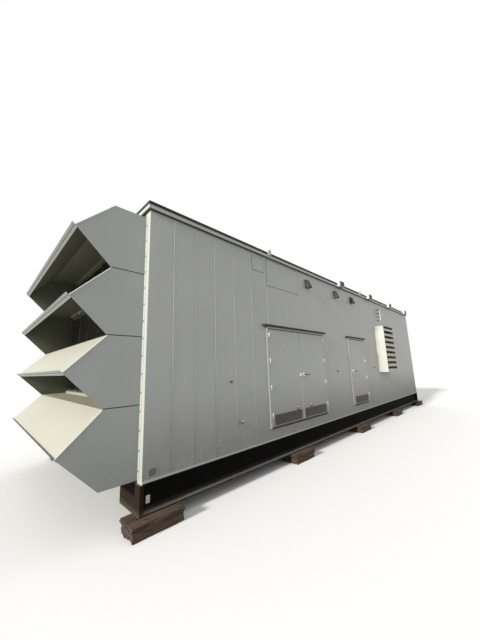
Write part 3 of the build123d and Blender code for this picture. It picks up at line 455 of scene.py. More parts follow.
doorRubber = softFiller("epdmRubberSeal", {  # matt black with a bloom of dust
    "base": "#1B1B1B", "dusty": "#2E2C29", "roughness": 0.8, "ior": 1.5, "cloudSize": 0.05, "depth": 0.0005})
greySealant = softFiller("greyJointSealant", {  # dull dark joint line between sheets
    "base": "#232422", "dusty": "#333430", "roughness": 0.7, "ior": 1.45, "cloudSize": 0.08, "depth": 0.0005})
frostedLens = softFiller("frostedPolycarbonate", {  # milky lamp window with a soft sheen
    "base": "#BEBFB8", "dusty": "#A9A99F", "roughness": 0.35, "ior": 1.58, "cloudSize": 0.1, "depth": 0.0003})
plateLacquer = softFiller("dullPlateLacquer", {  # brownish grey etched plate, left bare
    "base": "#45433E", "dusty": "#54514B", "roughness": 0.5, "ior": 1.5, "cloudSize": 0.03, "depth": 0.0003})
galvanised = softFiller("dustyGalvanised", {  # guard wires and posts, their zinc gone dull and dusty
    "base": "#5C5D58", "dusty": "#72726B", "roughness": 0.75, "ior": 1.5, "cloudSize": 0.03, "depth": 0.0003})
tornFilm = softFiller("tornPackingFilm", {  # crumpled white film left on the sheet
    "base": "#F2F2EE", "dusty": "#E0DED8", "roughness": 0.45, "ior": 1.5, "cloudSize": 0.03, "depth": 0.002})
print("fillers, timber and floor finishes made")

# finishes of the CAD nodes
finishOf = {
    wallPaint: ["front_wall_left", "front_wall_middle", "front_wall_right", "front_wall_over_doors",
                "front_wall_under_doors", "back_wall", "right_end_wall", "left_leaf", "right_leaf",
                "single_leaf", "wall_plates"],
    hoodPaint: ["hood_side_panels", "hood_1_cover", "hood_2_cover", "hood_3_cover", "hood_4_cover",
                "hood_floor"],
    trimPaint: ["base_strip", "roof_trim", "meeting_strip", "lifting_lugs", "roof_edge_boxes"],
    jambPaint: ["door_jambs", "door_heads"],
    framePaint: ["left_end_wall_jambs", "hood_flanges"],
    railPaint: ["left_end_wall_rails"],
    louvrePaint: ["louvre_casing"],
    bladePaint: ["louvre_blades"],
    roofPaint: ["roof_panel"],
    skidPaint: ["skid_front_rail", "skid_back_rail", "floor_beams"],
    bronzeEnamel: ["wall_lamps"],
    capPaint: ["door_drip_caps"],
    fittingEnamel: ["wall_fittings", "right_lever", "single_lever"],
    zincPlate: ["left_leaf_fittings", "right_leaf_fittings", "single_leaf_fittings"],
    dullZinc: ["frame_hinges"],
    millAluminium: ["skid_plate"],
    scuffedSill: ["door_thresholds"],
    galvanised: ["intake_posts"],
    kickSteel: ["left_kick_plate", "right_kick_plate", "single_kick_plate"],
    floorPaint: ["floor_plate"],
    timber: ["timber_packing", "timber_boards"],
}
for finish, names in finishOf.items():
    for name in names:
        mesh = nodes[name].data
        mesh.materials.clear()
        mesh.materials.append(finish)
print("finishes on", sum(len(names) for names in finishOf.values()), "nodes")


# surfaces
# quads of a grid of points: (i, j) joins (i + 1, j), (i + 1, j + 1), (i, j + 1), wrapped where asked
def gridQuads(rows, columns, wrapColumns=False, wrapRows=False):
    i, j = np.meshgrid(np.arange(rows if wrapRows else rows - 1),
                       np.arange(columns if wrapColumns else columns - 1), indexing="ij")
    i, j = i.ravel(), j.ravel()
    nextI, nextJ = (i + 1) % rows, (j + 1) % columns
    return np.stack([i * columns + j, nextI * columns + j,
                     nextI * columns + nextJ, i * columns + nextJ], 1).tolist()


# one section through a bar: a rectangle whose four corners are arcs, point = centre + r (cos a, sin a)
def barOutline(width, height, radius, steps=3):
    quarter = np.repeat(np.arange(4), steps + 1)
    angle = quarter * pi / 2 + np.tile(np.linspace(0, pi / 2, steps + 1), 4)
    middle = quarter * pi / 2 + pi / 4
    centre = np.stack([np.sign(np.cos(middle)) * (width / 2 - radius),
                       np.sign(np.sin(middle)) * (height / 2 - radius)], 1)
    return centre + radius * np.stack([np.cos(angle), np.sin(angle)], 1)


# a closed outline carried along a path: point = path + u * across + v * up, its ends closed or joined
def carried(outline, path, across, up, loop=False):
    path = np.asarray(path, float)
    across, up = (np.broadcast_to(np.asarray(a, float), path.shape) for a in (across, up))
    points = path[:, None] + outline[None, :, :1] * across[:, None] + outline[None, :, 1:] * up[:, None]
    rows, columns = points.shape[:2]
    caps = [] if loop else [list(range(columns)), list(range((rows - 1) * columns, rows * columns))]
    return points.reshape(-1, 3), gridQuads(rows, columns, wrapColumns=True, wrapRows=loop) + caps


# a closed outline (u outwards, v up) carried round a rectangle seen from above, its corners mitred:
# at each corner point = corner + u (sign x, sign y, 0) + v (0, 0, 1)
def roundRectangle(outline, low, high):
    signs = np.array([(-1, -1, 0), (1, -1, 0), (1, 1, 0), (-1, 1, 0)], float)
    path = np.where(signs > 0, (high[0], high[1], 0), (low[0], low[1], 0))
    return carried(np.asarray(outline, float), path, signs, (0, 0, 1), loop=True)


# a straight bar between two corners of a box: a rounded outline carried along one axis
def bar(low, high, axis, radius):
    low, high = np.asarray(low, float), np.asarray(high, float)
    others = [a for a in range(3) if a != axis]
    middle = (low + high) / 2
    ends = np.array([middle, middle])
    ends[0, axis], ends[1, axis] = low[axis], high[axis]
    size = high - low
    outline = barOutline(size[others[0]], size[others[1]], min(radius, 0.49 * min(size[others])))
    return carried(outline, ends, np.eye(3)[others[0]], np.eye(3)[others[1]])


# a turned shape about an axis: point = (r cos a, r sin a, h); flats > 0 pulls r in to that many flats
def turned(radii, heights, axis, segments=16, flats=0):
    angle = np.linspace(0, 2 * pi, segments, endpoint=False)
    pull = np.ones_like(angle)
    if flats:
        pull = cos(pi / flats) / np.cos((angle % (2 * pi / flats)) - pi / flats)
    radii, heights = np.asarray(radii, float), np.asarray(heights, float)
    ring = np.stack([np.cos(angle) * pull, np.sin(angle) * pull], 1)
    flat = radii[:, None, None] * ring[None]
    points = np.concatenate([flat, np.broadcast_to(heights[:, None, None], flat.shape[:2] + (1,))], 2)
    axis = np.asarray(axis, float)
    side = np.cross(axis, [0, 0, 1]) if abs(axis[2]) < 0.9 else np.array([1.0, 0, 0])
    basis = np.stack([side, np.cross(axis, side), axis])
    caps = [list(range(segments)), list(range((len(radii) - 1) * segments, len(radii) * segments))]
    return points.reshape(-1, 3) @ basis, gridQuads(len(radii), segments, wrapColumns=True) + caps


# several shapes as one: their points in a row, each shape's faces moved on by the points before it
def merged(shapes):
    starts = np.cumsum([0] + [len(points) for points, _ in shapes[:-1]])
    faces = [[int(start) + k for k in face] for start, (_, own) in zip(starts, shapes) for face in own]
    return np.concatenate([points for points, _ in shapes]), faces


# the same shape at many places: point = place + own point
def copies(shape, places):
    points, faces = shape
    return merged([(points + np.asarray(place, float), faces) for place in places])


# one object at the origin, faces turned outwards, riding on a body and named to a slot; its
# edges are shaded sharp past 35 degrees
def addPiece(name, shape, finish, body="enclosure", replaced=()):
    points, faces = shape
    mesh = bpy.data.meshes.new(name)
    mesh.from_pydata(points.tolist(), [], faces)
    tidy = bmesh.new()
    tidy.from_mesh(mesh)
    bmesh.ops.remove_doubles(tidy, verts=tidy.verts, dist=1e-5)
    bmesh.ops.recalc_face_normals(tidy, faces=tidy.faces)
    tidy.to_mesh(mesh)
    tidy.free()
    mesh.shade_smooth()
    mesh.set_sharp_from_angle(angle=radians(35))
    mesh.materials.append(finish)
    piece = bpy.data.objects.new(name, mesh)
    bpy.context.scene.collection.objects.link(piece)
    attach(piece, body)
    if replaced:
        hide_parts(*replaced)
    return piece


letIn = 0.001  # how far thin trim is let into the sheet that carries it

# joints of the wall panels; places from the left end of the body, heights above the deck
panelJoints = {
    "white": (0.449, 1.35), "pale": (0.894,), "beads": (1.872, 2.402, 11.74, 12.04),
    "overDoors": (2.96, 8.51), "overCap": 0.004, "stripWidth": 0.016, "edgeWidth": 0.004,
    "edgeGap": 0.002, "beadWidth": 0.006, "proud": 0.0022, "footGap": 0.05, "headGap": 0.016,
    "lineFrom": 2.9, "lineTo": 4.35, "lineFoot": 3.38, "lineHeight": 0.007, "lineProud": 0.0015}
capHigh = corners("door_drip_caps")[1][2]


# upright bars over the joints of front and back, from foot to head
def jointBars(places, width, foot, sides=((frontY, -1), (backY, 1))):
    head, proud = eaveZ - panelJoints["headGap"], panelJoints["proud"]
    return merged([
        bar((leftX + place - width / 2, min(face + way * proud, face - way * letIn), foot),
            (leftX + place + width / 2, max(face + way * proud, face - way * letIn), head), 2, proud * 0.8)
        for place in places for face, way in sides])


foot = deckZ + panelJoints["footGap"]
lineZ = deckZ + panelJoints["lineFoot"]
# the pale strips and beads stand for light caught by the joint edges: painted highlights
addPiece("highlightStrips", jointBars(panelJoints["white"], panelJoints["stripWidth"], foot),
         jointHighlight)
# painted shadow: a thin dark line beside each pale strip
addPiece("stripShadowLines", jointBars(
    [place - panelJoints["stripWidth"] / 2 - panelJoints["edgeGap"]
     for place in panelJoints["white"] + panelJoints["pale"]],
    panelJoints["edgeWidth"], foot), greySealant)
addPiece("panelBeads", merged([
    jointBars(panelJoints["pale"], panelJoints["stripWidth"], foot),
    jointBars(panelJoints["beads"], panelJoints["beadWidth"], foot),
    jointBars(panelJoints["overDoors"], panelJoints["beadWidth"], capHigh + panelJoints["overCap"],
              ((frontY, -1),)),
    bar((leftX + panelJoints["lineFrom"], frontY - panelJoints["lineProud"], lineZ),
        (leftX + panelJoints["lineTo"], frontY + letIn, lineZ + panelJoints["lineHeight"]), 0, 0.001)]),
    paleJointHighlight)

# roof edge: a black folded flashing over the panel's edge, a black seal under the trim and low
# laps across the top
roofEdge = {
    "fold": 0.05, "skin": 0.003, "topLeg": 0.09, "kick": 0.006, "sealIn": 0.002, "sealOut": 0.026,
    "sealSlant": 0.004, "sealHeight": 0.011, "lapPitch": 1.2, "lapWidth": 0.03, "lapHeight": 0.003,
    "lapEnd": 0.01, "lapSunk": 0.0004, "lastLap": 0.3}
skin, kick, top = roofEdge["skin"], roofEdge["kick"], roofHigh[2]
flashing = [(-roofEdge["topLeg"], top), (0.0, top), (0.0, top - roofEdge["fold"]),
            (kick * 0.6, top - roofEdge["fold"] - kick), (kick * 0.6 + skin, top - roofEdge["fold"] - kick),
            (skin, top - roofEdge["fold"] + kick * 0.3), (skin, top + skin * 0.5), (skin * 0.5, top + skin),
            (-roofEdge["topLeg"], top + skin)]
addPiece("roofFlashing", roundRectangle(flashing, roofLow, roofHigh), roofPaint)
sealIn, sealOut, sealLow = roofEdge["sealIn"], roofEdge["sealOut"], eaveZ - roofEdge["sealHeight"]
trimSeal = [(-sealIn, eaveZ), (-sealIn, sealLow), (sealOut - roofEdge["sealSlant"], sealLow),
            (sealOut, eaveZ)]
addPiece("roofSeal", roundRectangle(trimSeal, (leftX, frontY), (rightX, backY)), doorRubber)
lapXs = np.arange(roofLow[0] + roofEdge["lapPitch"], roofHigh[0] - roofEdge["lastLap"], roofEdge["lapPitch"])
lap = bar((-roofEdge["lapWidth"] / 2, roofLow[1] + roofEdge["lapEnd"], 0),
          (roofEdge["lapWidth"] / 2, roofHigh[1] - roofEdge["lapEnd"], roofEdge["lapHeight"]), 1, 0.0014)
addPiece("roofLaps", copies(lap, [(x, 0, roofHigh[2] - roofEdge["lapSunk"]) for x in lapXs]),
         roofPaint)

# dark vent strips over the two slots in the front of each roof-edge box
vent = {"fromRight": (8.32, 5.69, 3.15, 0.59), "feet": (0.025, 0.1025), "length": 0.308,
        "height": 0.063, "proud": 0.0015, "sunk": 0.0005}
boxFront = corners("roof_edge_boxes")[0][1]
strip = bar((-vent["length"] / 2, boxFront - vent["proud"], eaveZ),
            (vent["length"] / 2, boxFront + vent["sunk"], eaveZ + vent["height"]), 0, 0.0008)
addPiece("boxVents", copies(strip, [
    (rightX - inset, 0, up) for inset in vent["fromRight"] for up in vent["feet"]]),
    screenCloth)

# a black band over the foot of the base strip, on front, back and right end
stripLow, stripHigh = corners("base_strip")
edge = {"height": 0.015, "proud": 0.0012, "lift": 0.0005, "radius": 0.0005}
low, proud, r = stripLow[2] + edge["lift"], edge["proud"], edge["radius"]
top = low + edge["height"]
addPiece("blackFootEdge", merged([
    bar((stripLow[0], stripLow[1] - proud, low), (stripHigh[0] + proud, stripLow[1] + letIn, top), 0, r),
    bar((stripLow[0], stripHigh[1] - letIn, low), (stripHigh[0] + proud, stripHigh[1] + proud, top), 0, r),
    bar((stripHigh[0] - letIn, stripLow[1], low), (stripHigh[0] + proud, stripHigh[1], top), 1, r)]),
    skidPaint)
print("wall and roof joints made")

# intake hoods
flangeLow, flangeHigh = corners("hood_flanges")
hoodTops = [corners(f"hood_{i}_cover")[1][2] for i in (1, 2, 3, 4)]
hoodModule = hoodTops[0] - hoodTops[1]
hood = {
    "stub": 0.522, "sheet": 0.004, "hemWidth": 0.011, "hemProud": 0.0035, "hemSunk": 0.0005,
    "jointHeight": 0.013, "jointProud": 0.0012, "jointEnd": 0.006, "lineWidth": 0.009, "lineProud": 0.0024,
    "lineInset": 0.002, "boltPitch": 0.2715, "boltFoot": 0.12, "boltHead": 0.05, "boltRadius": 0.0085,
    "washerRadius": 0.014, "screwPitch": 0.24, "screwInset": 0.022, "screwFirst": 0.1, "screwLast": 0.05,
    "screwRadius": 0.0045, "screwHeight": 0.002}
slope = sqrt(0.5)
sideYs = (hoodLow[1], hoodHigh[1])


# hems: a rounded bead along the sloping edge of each hood's side, from the bend to the nose,
# painted pale as a highlight
def hoodHems():
    reach = hoodModule / 2
    outline = barOutline(hood["hemProud"], hood["hemWidth"], hood["hemProud"] * 0.49)
    up = np.array((-slope, 0, slope))
    shapes = []
    for top in hoodTops:
        path = np.array([(leftX - hood["stub"] - hood["sheet"], 0, top - hood["sheet"]),
                         (leftX - hood["stub"] - reach, 0, top - reach)]) - up * hood["hemWidth"] / 2
        shapes += [carried(outline, path + (0, y, 0), (0, 1, 0), up) for y in (
            sideYs[0] - hood["hemProud"] / 2 + hood["hemSunk"],
            sideYs[1] + hood["hemProud"] / 2 - hood["hemSunk"])]
    return merged(shapes)


addPiece("hoodHems", hoodHems(), hemHighlightPaint)
addPiece("hoodSeams", merged([
    bar((leftX - hood["stub"], y - hood["jointProud"], top - letIn),
        (leftX - hood["jointEnd"], y + hood["jointProud"], top + hood["jointHeight"]), 0, 0.001)
    for top in hoodTops[1:] for y in sideYs]), greySealant)

# painted shadow: dark lines along the fold of the strip on each hood's nose, where the fold's shade falls
lineOutline = barOutline(hood["lineWidth"], hood["lineProud"], 0.001)
noseOut = hood["stub"] + hoodModule / 2 + hood["sheet"] * slope
noseDown = hoodModule / 2 + hood["sheet"] * slope
addPiece("noseFoldShadows", merged([
    carried(lineOutline, [(leftX - noseOut, sideYs[0] + hood["lineInset"], top - noseDown),
                          (leftX - noseOut, sideYs[1] - hood["lineInset"], top - noseDown)],
            (-slope, 0, slope), (-slope, 0, -slope)) for top in hoodTops]), greySealant)


# a hex bolt on a round washer, its foot at height 0: both are turned, the head with six flats
def hexBolt(radius, washerRadius, axis):
    washer = turned((washerRadius, washerRadius, radius), (0, 0.0016, 0.002), axis, 18)
    head = turned((radius, radius, radius * 0.86, radius * 0.5),
                  (0.001, 0.0062, 0.0074, 0.0076), axis, 18, flats=6)
    return merged([washer, head])


# a domed screw head: its radius falls as cos a while its height rises as sin a
def domeScrew(radius, height, axis):
    swing = np.linspace(0, pi / 2 * 0.98, 5)
    return turned(np.append(radius, radius * np.cos(swing)),
                  np.append(0, height * (0.35 + 0.65 * np.sin(swing))), axis, 12)


boltZs = np.arange(flangeLow[2] + hood["boltFoot"], flangeHigh[2] - hood["boltHead"], hood["boltPitch"])
flangeMiddles = ((flangeLow[1] + hoodLow[1]) / 2, (flangeHigh[1] + hoodHigh[1]) / 2)
addPiece("hoodBolts", copies(
    hexBolt(hood["boltRadius"], hood["washerRadius"], (-1, 0, 0)),
    [(flangeLow[0] + 0.0003, y, z) for y in flangeMiddles for z in boltZs]), weatheredZinc)

# screws along the upper edges of the hood sides: out along the stub, then down the slope
along = np.arange(hood["screwFirst"], hood["stub"] + hoodModule / 2 / slope - hood["screwLast"],
                  hood["screwPitch"])
onSlope = np.maximum(0, along - hood["stub"]) * slope
outX = np.minimum(along, hood["stub"]) + onSlope
sink = hood["hemWidth"] + hood["screwInset"]
screwDown = onSlope + sink * np.where(along > hood["stub"], 1 / slope, 1)
for side, way in ((0, -1), (1, 1)):
    addPiece(f"hoodSideScrews{side + 1}", copies(
        domeScrew(hood["screwRadius"], hood["screwHeight"], (0, way, 0)),
        [(leftX - x, sideYs[side], top - down) for top in hoodTops for x, down in zip(outX, screwDown)]),
        weatheredZinc)

# wire guards behind the hoods: upright wires carried by cross wires, between the posts
postLow = corners("intake_posts")[0]
railLow, railHigh = corners("left_end_wall_rails")
guard = {"pitch": 0.076, "radius": 0.003, "sides": 6, "crossRows": 4, "rail": 0.12, "standOff": 0.004,
         "clipWidth": 0.035, "clipHeight": 0.055, "clipOut": 0.007, "clipIn": 0.004, "clipSunk": 0.002}
guardX = postLow[0] - guard["standOff"]
wireYs = np.arange(railLow[1] + guard["pitch"] / 2, railHigh[1], guard["pitch"])
upright = turned((guard["radius"], guard["radius"]), (0, 1), (0, 0, 1), guard["sides"])
level = turned((guard["radius"], guard["radius"]), (0, 1), (0, 1, 0), guard["sides"])
guardShapes = []
for top in hoodTops:
    low, high = top - hoodModule + guard["rail"] / 2, top - guard["rail"] / 2
    guardShapes.append(copies(
        (upright[0] * (1, 1, high - low), upright[1]), [(guardX, y, low) for y in wireYs]))
    guardShapes.append(copies(
        (level[0] * (1, railHigh[1] - railLow[1], 1), level[1]),
        [(guardX + 2 * guard["radius"], railLow[1], z)
         for z in np.linspace(low, high, guard["crossRows"] + 2)[1:-1]]))
addPiece("wireGuards", merged(guardShapes), galvanised)
clip = bar((-guard["clipOut"], -guard["clipWidth"] / 2, 0),
           (guard["clipIn"], guard["clipWidth"] / 2, guard["clipHeight"]), 2, 0.002)
addPiece("guardClips", copies(clip, [
    (guardX, y, top - hoodModule + guard["rail"] / 2 - guard["clipSunk"])
    for top in hoodTops for y in wireYs[::2]]), railPaint)

film = {"from": 3.17, "length": 1.05, "drop": 0.1, "crumple": 0.008, "out": 0.1, "gap": 0.006,
        "thickness": 0.0012, "columns": 60, "rows": 10}


# a torn strip of packing film hung under the second cover by the wall: point = (x + crumple,
# y, top - drop v), its lower edge ragged by two waves
def filmScrap():
    across, down = np.meshgrid(np.linspace(0, 1, film["columns"]), np.linspace(0, 1, film["rows"]))
    ragged = 0.6 + 0.25 * np.sin(across * 23 + 1.3) + 0.15 * np.sin(across * 51)
    crumple = film["crumple"] * np.sin(across * 17 + down * 3) * (0.3 + down)
    points = np.stack([
        leftX - film["out"] + crumple, hoodLow[1] + film["from"] + film["length"] * across,
        hoodTops[1] - film["gap"] - film["drop"] * ragged * down], 2)
    return points.reshape(-1, 3), gridQuads(film["rows"], film["columns"])


scrap = addPiece("filmScrap", filmScrap(), tornFilm)
thick = scrap.modifiers.new("thickness", "SOLIDIFY")
thick.thickness = film["thickness"]
print("hoods dressed")

# doors
door = {
    "bodies": {"left": "left_door", "right": "right_door", "single": "single_door"},
    "screwRadius": 0.0045, "screwHeight": 0.0016, "screwInset": 0.012, "kickScrews": 6,
    "hingeCount": 4, "hingeFoot": 0.18, "hingeHead": 0.084, "hingeHeight": 0.11, "hingeReach": 0.045,
    "hingeScrews": (0.02, 0.09), "hingeThick": 0.004, "axisOut": 0.003, "plateFrom": 0.012, "plateTo": 0.057,
    "paintProud": 0.0006, "paintSunk": 0.0005}
footBolt = {"fromLeft": 0.255, "fromRight": 0.35, "up": 0.31, "width": 0.026, "drop": 0.06, "rise": 0.004,
            "out": 0.033, "back": 0.008}
screw = domeScrew(door["screwRadius"], door["screwHeight"], (0, -1, 0))
frameScrews, frameSkins = [], []


# the wall's paint over a hinge plate, from plateFrom to plateTo beside the axis; the knuckle stays bare
def plateSkin(axisX, way, face, z):
    near, far = axisX + way * door["plateFrom"], axisX + way * door["plateTo"]
    return bar((min(near, far), face - door["paintProud"], z),
               (max(near, far), face + door["paintSunk"], z + door["hingeHeight"]), 2, 0.0005)


for name, body in door["bodies"].items():
    leafLow, leafHigh = corners(f"{name}_leaf")
    kickLow, kickHigh = corners(f"{name}_kick_plate")
    face = leafLow[1] - door["hingeThick"]
    way = -1 if name == "left" else 1
    axisX = (leafLow[0] if way < 0 else leafHigh[0]) + way * door["axisOut"]
    hingeZs = np.linspace(leafLow[2] + door["hingeFoot"],
                          leafHigh[2] - door["hingeHead"] - door["hingeHeight"], door["hingeCount"])
    hingeScrews = [(axisX, z + up) for z in hingeZs for up in door["hingeScrews"]]
    frameScrews += [(x + way * door["hingeReach"], face, z) for x, z in hingeScrews]
    places = [(x - way * door["hingeReach"], face, z) for x, z in hingeScrews]
    inset = door["screwInset"]
    places += [(x, kickLow[1], z)
               for x in np.linspace(kickLow[0] + inset, kickHigh[0] - inset, door["kickScrews"])
               for z in (kickLow[2] + inset, kickHigh[2] - inset)]
    addPiece(f"{name}DoorScrews", copies(screw, places), zincPlate, body)
    frameSkins += [plateSkin(axisX, way, face, z) for z in hingeZs]
    addPiece(f"{name}HingeSkins", merged([plateSkin(axisX, -way, face, z) for z in hingeZs]),
             wallPaint, body)
    if name != "single":  # the arm that hangs from the foot bolt, dark over the kick plate
        boltX = leafHigh[0] - footBolt["fromLeft"] if way < 0 else leafLow[0] + footBolt["fromRight"]
        half, z = footBolt["width"] / 2, leafLow[2] + footBolt["up"]
        addPiece(f"{name}BoltArm", bar(
            (boltX - half, leafLow[1] - footBolt["out"], z - footBolt["drop"]),
            (boltX + half, leafLow[1] - footBolt["back"], z + footBolt["rise"]), 2, 0.003),
            fittingEnamel, body)
addPiece("frameScrews", copies(screw, frameScrews), zincPlate)
addPiece("frameHingeSkins", merged(frameSkins), wallPaint)

# door seals: soft strips on the stops behind the leaves; the black strips in the gaps beside them, the flat
# one over the gap under each head and the one under each threshold are painted shade lines
doorSeal = {
    "width": 0.014, "depth": 0.0046, "inset": 0.0005, "behind": 0.0002, "foot": 0.005, "top": 0.004,
    "gapFrom": 0.002, "gapTo": 0.0055, "gapFront": 0.0015, "gapBack": 0.012, "gapFoot": 0.004,
    "gapTop": 0.003, "past": 0.02, "headUp": 0.007, "headHeight": 0.016, "headProud": 0.0014,
    "sillDrop": 0.032, "sillProud": 0.005, "sillGap": 0.0005}
sealShapes, sillZ = [], corners("door_thresholds")[0][2]
for first, last in (("left_leaf", "right_leaf"), ("single_leaf", "single_leaf")):
    low, high = corners(first)[0], corners(last)[1]
    back, width, inset = high[1] + doorSeal["behind"], doorSeal["width"], doorSeal["inset"]
    headZ, past = high[2] + doorSeal["headUp"], doorSeal["past"]
    for x0, x1 in ((low[0] + inset, low[0] + width), (high[0] - width, high[0] - inset)):
        sealShapes.append(bar((x0, back, low[2] + doorSeal["foot"]),
                              (x1, back + doorSeal["depth"], high[2] + doorSeal["top"]), 2, 0.002))
    for x0, x1 in ((low[0] - doorSeal["gapTo"], low[0] - doorSeal["gapFrom"]),
                   (high[0] + doorSeal["gapFrom"], high[0] + doorSeal["gapTo"])):
        sealShapes.append(bar((x0, low[1] + doorSeal["gapFront"], low[2] + doorSeal["gapFoot"]),
                              (x1, low[1] + doorSeal["gapBack"], high[2] + doorSeal["gapTop"]), 2, 0.001))
    sealShapes.append(bar((low[0] - past, low[1] - doorSeal["headProud"], headZ),
                          (high[0] + past, low[1] + letIn, headZ + doorSeal["headHeight"]), 0, 0.0007))
    sealShapes.append(bar((low[0] - past, frontY - doorSeal["sillProud"], sillZ - doorSeal["sillDrop"]),
                          (high[0] + past, frontY + letIn, sillZ - doorSeal["sillGap"]), 0, 0.002))
addPiece("doorSeals", merged(sealShapes), doorRubber)

# lock cylinders: a turned collar with a key slot plate under each lever
lock = {"radius": 0.0115, "drop": 0.03, "proud": 0.004, "leverInset": 0.065, "latch": 0.04,
        "slotWidth": 0.0024, "slotHeight": 0.009, "sunk": 0.0002}
collar = turned(
    np.array((1, 1, 0.9, 0.7, 0.66)) * lock["radius"],
    np.array((0, 0.75, 1, 1, 0.8)) * lock["proud"], (0, -1, 0), 24)
slotPlate = bar((-lock["slotWidth"] / 2, -lock["proud"] * 0.86, -lock["slotHeight"] / 2),
                (lock["slotWidth"] / 2, -lock["proud"] * 0.7, lock["slotHeight"] / 2), 2, 0.0005)
for name, body in (("right", "right_door"), ("single", "single_door")):
    leverLow, leverHigh = corners(f"{name}_lever")
    leafLow = corners(f"{name}_leaf")[0]
    place = (leafLow[0] + lock["leverInset"], leafLow[1] - lock["latch"] + lock["sunk"],
             (leverLow[2] + leverHigh[2]) / 2 - lock["drop"])
    addPiece(f"{name}LockCollar", (collar[0] + place, collar[1]), satinSteel, body)
    addPiece(f"{name}LockSlot", (slotPlate[0] + place, slotPlate[1]), doorRubber, body)
print("doors dressed")

# covers and plates of the front
covers = {  # place from the left end, foot above the deck, width, height
    "big": (2.96, 3.5, 1.33, 0.65), "small": (2.46, 3.785, 0.39, 0.335),
    "jointWidth": 0.008, "jointProud": 0.0032, "screwPitch": 0.22, "screwInset": 0.02, "proud": 0.004}


# the dark joint round a cover: four bars just outside its edges, the upright ones 0.3 mm less proud
def coverJoint(place, foot, width, height):
    x0, x1 = leftX + place, leftX + place + width
    z0, z1 = deckZ + foot, deckZ + foot + height
    w, outer, inner = covers["jointWidth"], frontY - covers["jointProud"], frontY + letIn
    flush = [bar((x0 - w, outer, z), (x1 + w, inner, z + w), 0, 0.002) for z in (z0 - w, z1)]
    return merged(flush + [
        bar((x, outer + 0.0003, z0 - w / 2), (x + w, inner, z1 + w / 2), 2, 0.002) for x in (x0 - w, x1)])


# screws round a cover, evenly spread by the wanted pitch
def coverScrews(place, foot, width, height):
    inset = covers["screwInset"]
    xs = np.linspace(inset, width - inset, int(width / covers["screwPitch"]) + 2)
    zs = np.linspace(inset, height - inset, int(height / covers["screwPitch"]) + 2)
    spots = [(x, z) for x in xs for z in (zs[0], zs[-1])]
    spots += [(x, z) for z in zs[1:-1] for x in (xs[0], xs[-1])]
    return [(leftX + place + x, frontY - covers["proud"], deckZ + foot + z) for x, z in spots]


addPiece("coverJoints", merged([coverJoint(*covers["big"]), coverJoint(*covers["small"])]),
         greySealant)
addPiece("coverScrews", copies(screw, coverScrews(*covers["big"]) + coverScrews(*covers["small"])),
         zincPlate)

# the bare plates: a dull lacquered skin over the one on the wall, and rivets on both
plate = {"x": 0.086, "z": 0.082, "width": 0.127, "height": 0.108, "inset": 0.004, "proud": 0.0008,
         "sunk": 0.0002, "rivetInset": 0.012, "rivetRadius": 0.0035, "rivetHeight": 0.0015}
x0, z0 = leftX + plate["x"], deckZ + plate["z"]
x1, z1 = x0 + plate["width"], z0 + plate["height"]
inset, plateY = plate["inset"], frontY - covers["proud"]
addPiece("ratingPlate", bar((x0 + inset, plateY - plate["proud"], z0 + inset),
                            (x1 - inset, plateY + plate["sunk"], z1 - inset), 0, 0.0004),
         plateLacquer)
skidPlateLow, skidPlateHigh = corners("skid_plate")
rivet = domeScrew(plate["rivetRadius"], plate["rivetHeight"], (0, -1, 0))
inset = plate["rivetInset"]
addPiece("plateRivets", copies(rivet, [
    (x, y, z) for left, right, y, low, high in (
        (x0, x1, plateY - plate["proud"], z0, z1),
        (skidPlateLow[0], skidPlateHigh[0], skidPlateLow[1], skidPlateLow[2], skidPlateHigh[2]))
    for x in (left + inset, right - inset) for z in (low + inset, high - inset)]), zincPlate)

# louvred hood: rivets along its cheeks, a sealant bead round its foot, an insect screen behind
casingLow, casingHigh = corners("louvre_casing")
louvre = {"rivetPitch": 0.17, "rivetInset": 0.02, "rivetFoot": 0.08, "beadRadius": 0.007,
          "screenDepth": 0.13, "screenThick": 0.003, "screenGap": 0.001, "sheet": 0.004}
rivetZs = np.arange(casingLow[2] + louvre["rivetFoot"], casingHigh[2], louvre["rivetPitch"])
rivetY = casingHigh[1] - louvre["rivetInset"]
addPiece("louvreRivets", merged([
    copies(domeScrew(plate["rivetRadius"], plate["rivetHeight"], (way, 0, 0)),
           [(x, rivetY, z) for z in rivetZs])
    for way, x in ((-1, casingLow[0]), (1, casingHigh[0]))]), zincPlate)
r = louvre["beadRadius"]
beadLow, beadHigh = casingHigh[1] - r, casingHigh[1] + letIn
addPiece("louvreBead", merged([
    bar((x, beadLow, casingLow[2] - r), (x + r, beadHigh, casingHigh[2] + r), 2, r * 0.6)
    for x in (casingLow[0] - r, casingHigh[0])] + [
    bar((casingLow[0] - r / 2, beadLow + 0.0003, z), (casingHigh[0] + r / 2, beadHigh, z + r), 0, r * 0.6)
    for z in (casingLow[2] - r, casingHigh[2])]), louvrePaint)
inset, screenY = louvre["sheet"] + louvre["screenGap"], casingLow[1] + louvre["screenDepth"]
addPiece("insectScreen", bar(
    (casingLow[0] + inset, screenY, casingLow[2] + inset),
    (casingHigh[0] - inset, screenY + louvre["screenThick"], casingHigh[2] - inset), 0, 0.001),
    screenCloth)

# wall lamps
lampLow, lampHigh = corners("wall_lamps")
lamp = {"places": (4.795, 6.545, 7.825), "width": 0.19, "depth": 0.11, "border": 0.018, "recess": 0.02,
        "lensGap": 0.002, "lensEdge": 0.004, "lensRise": 0.011, "lensBack": 0.0005,
        "columns": 21, "rows": 15}


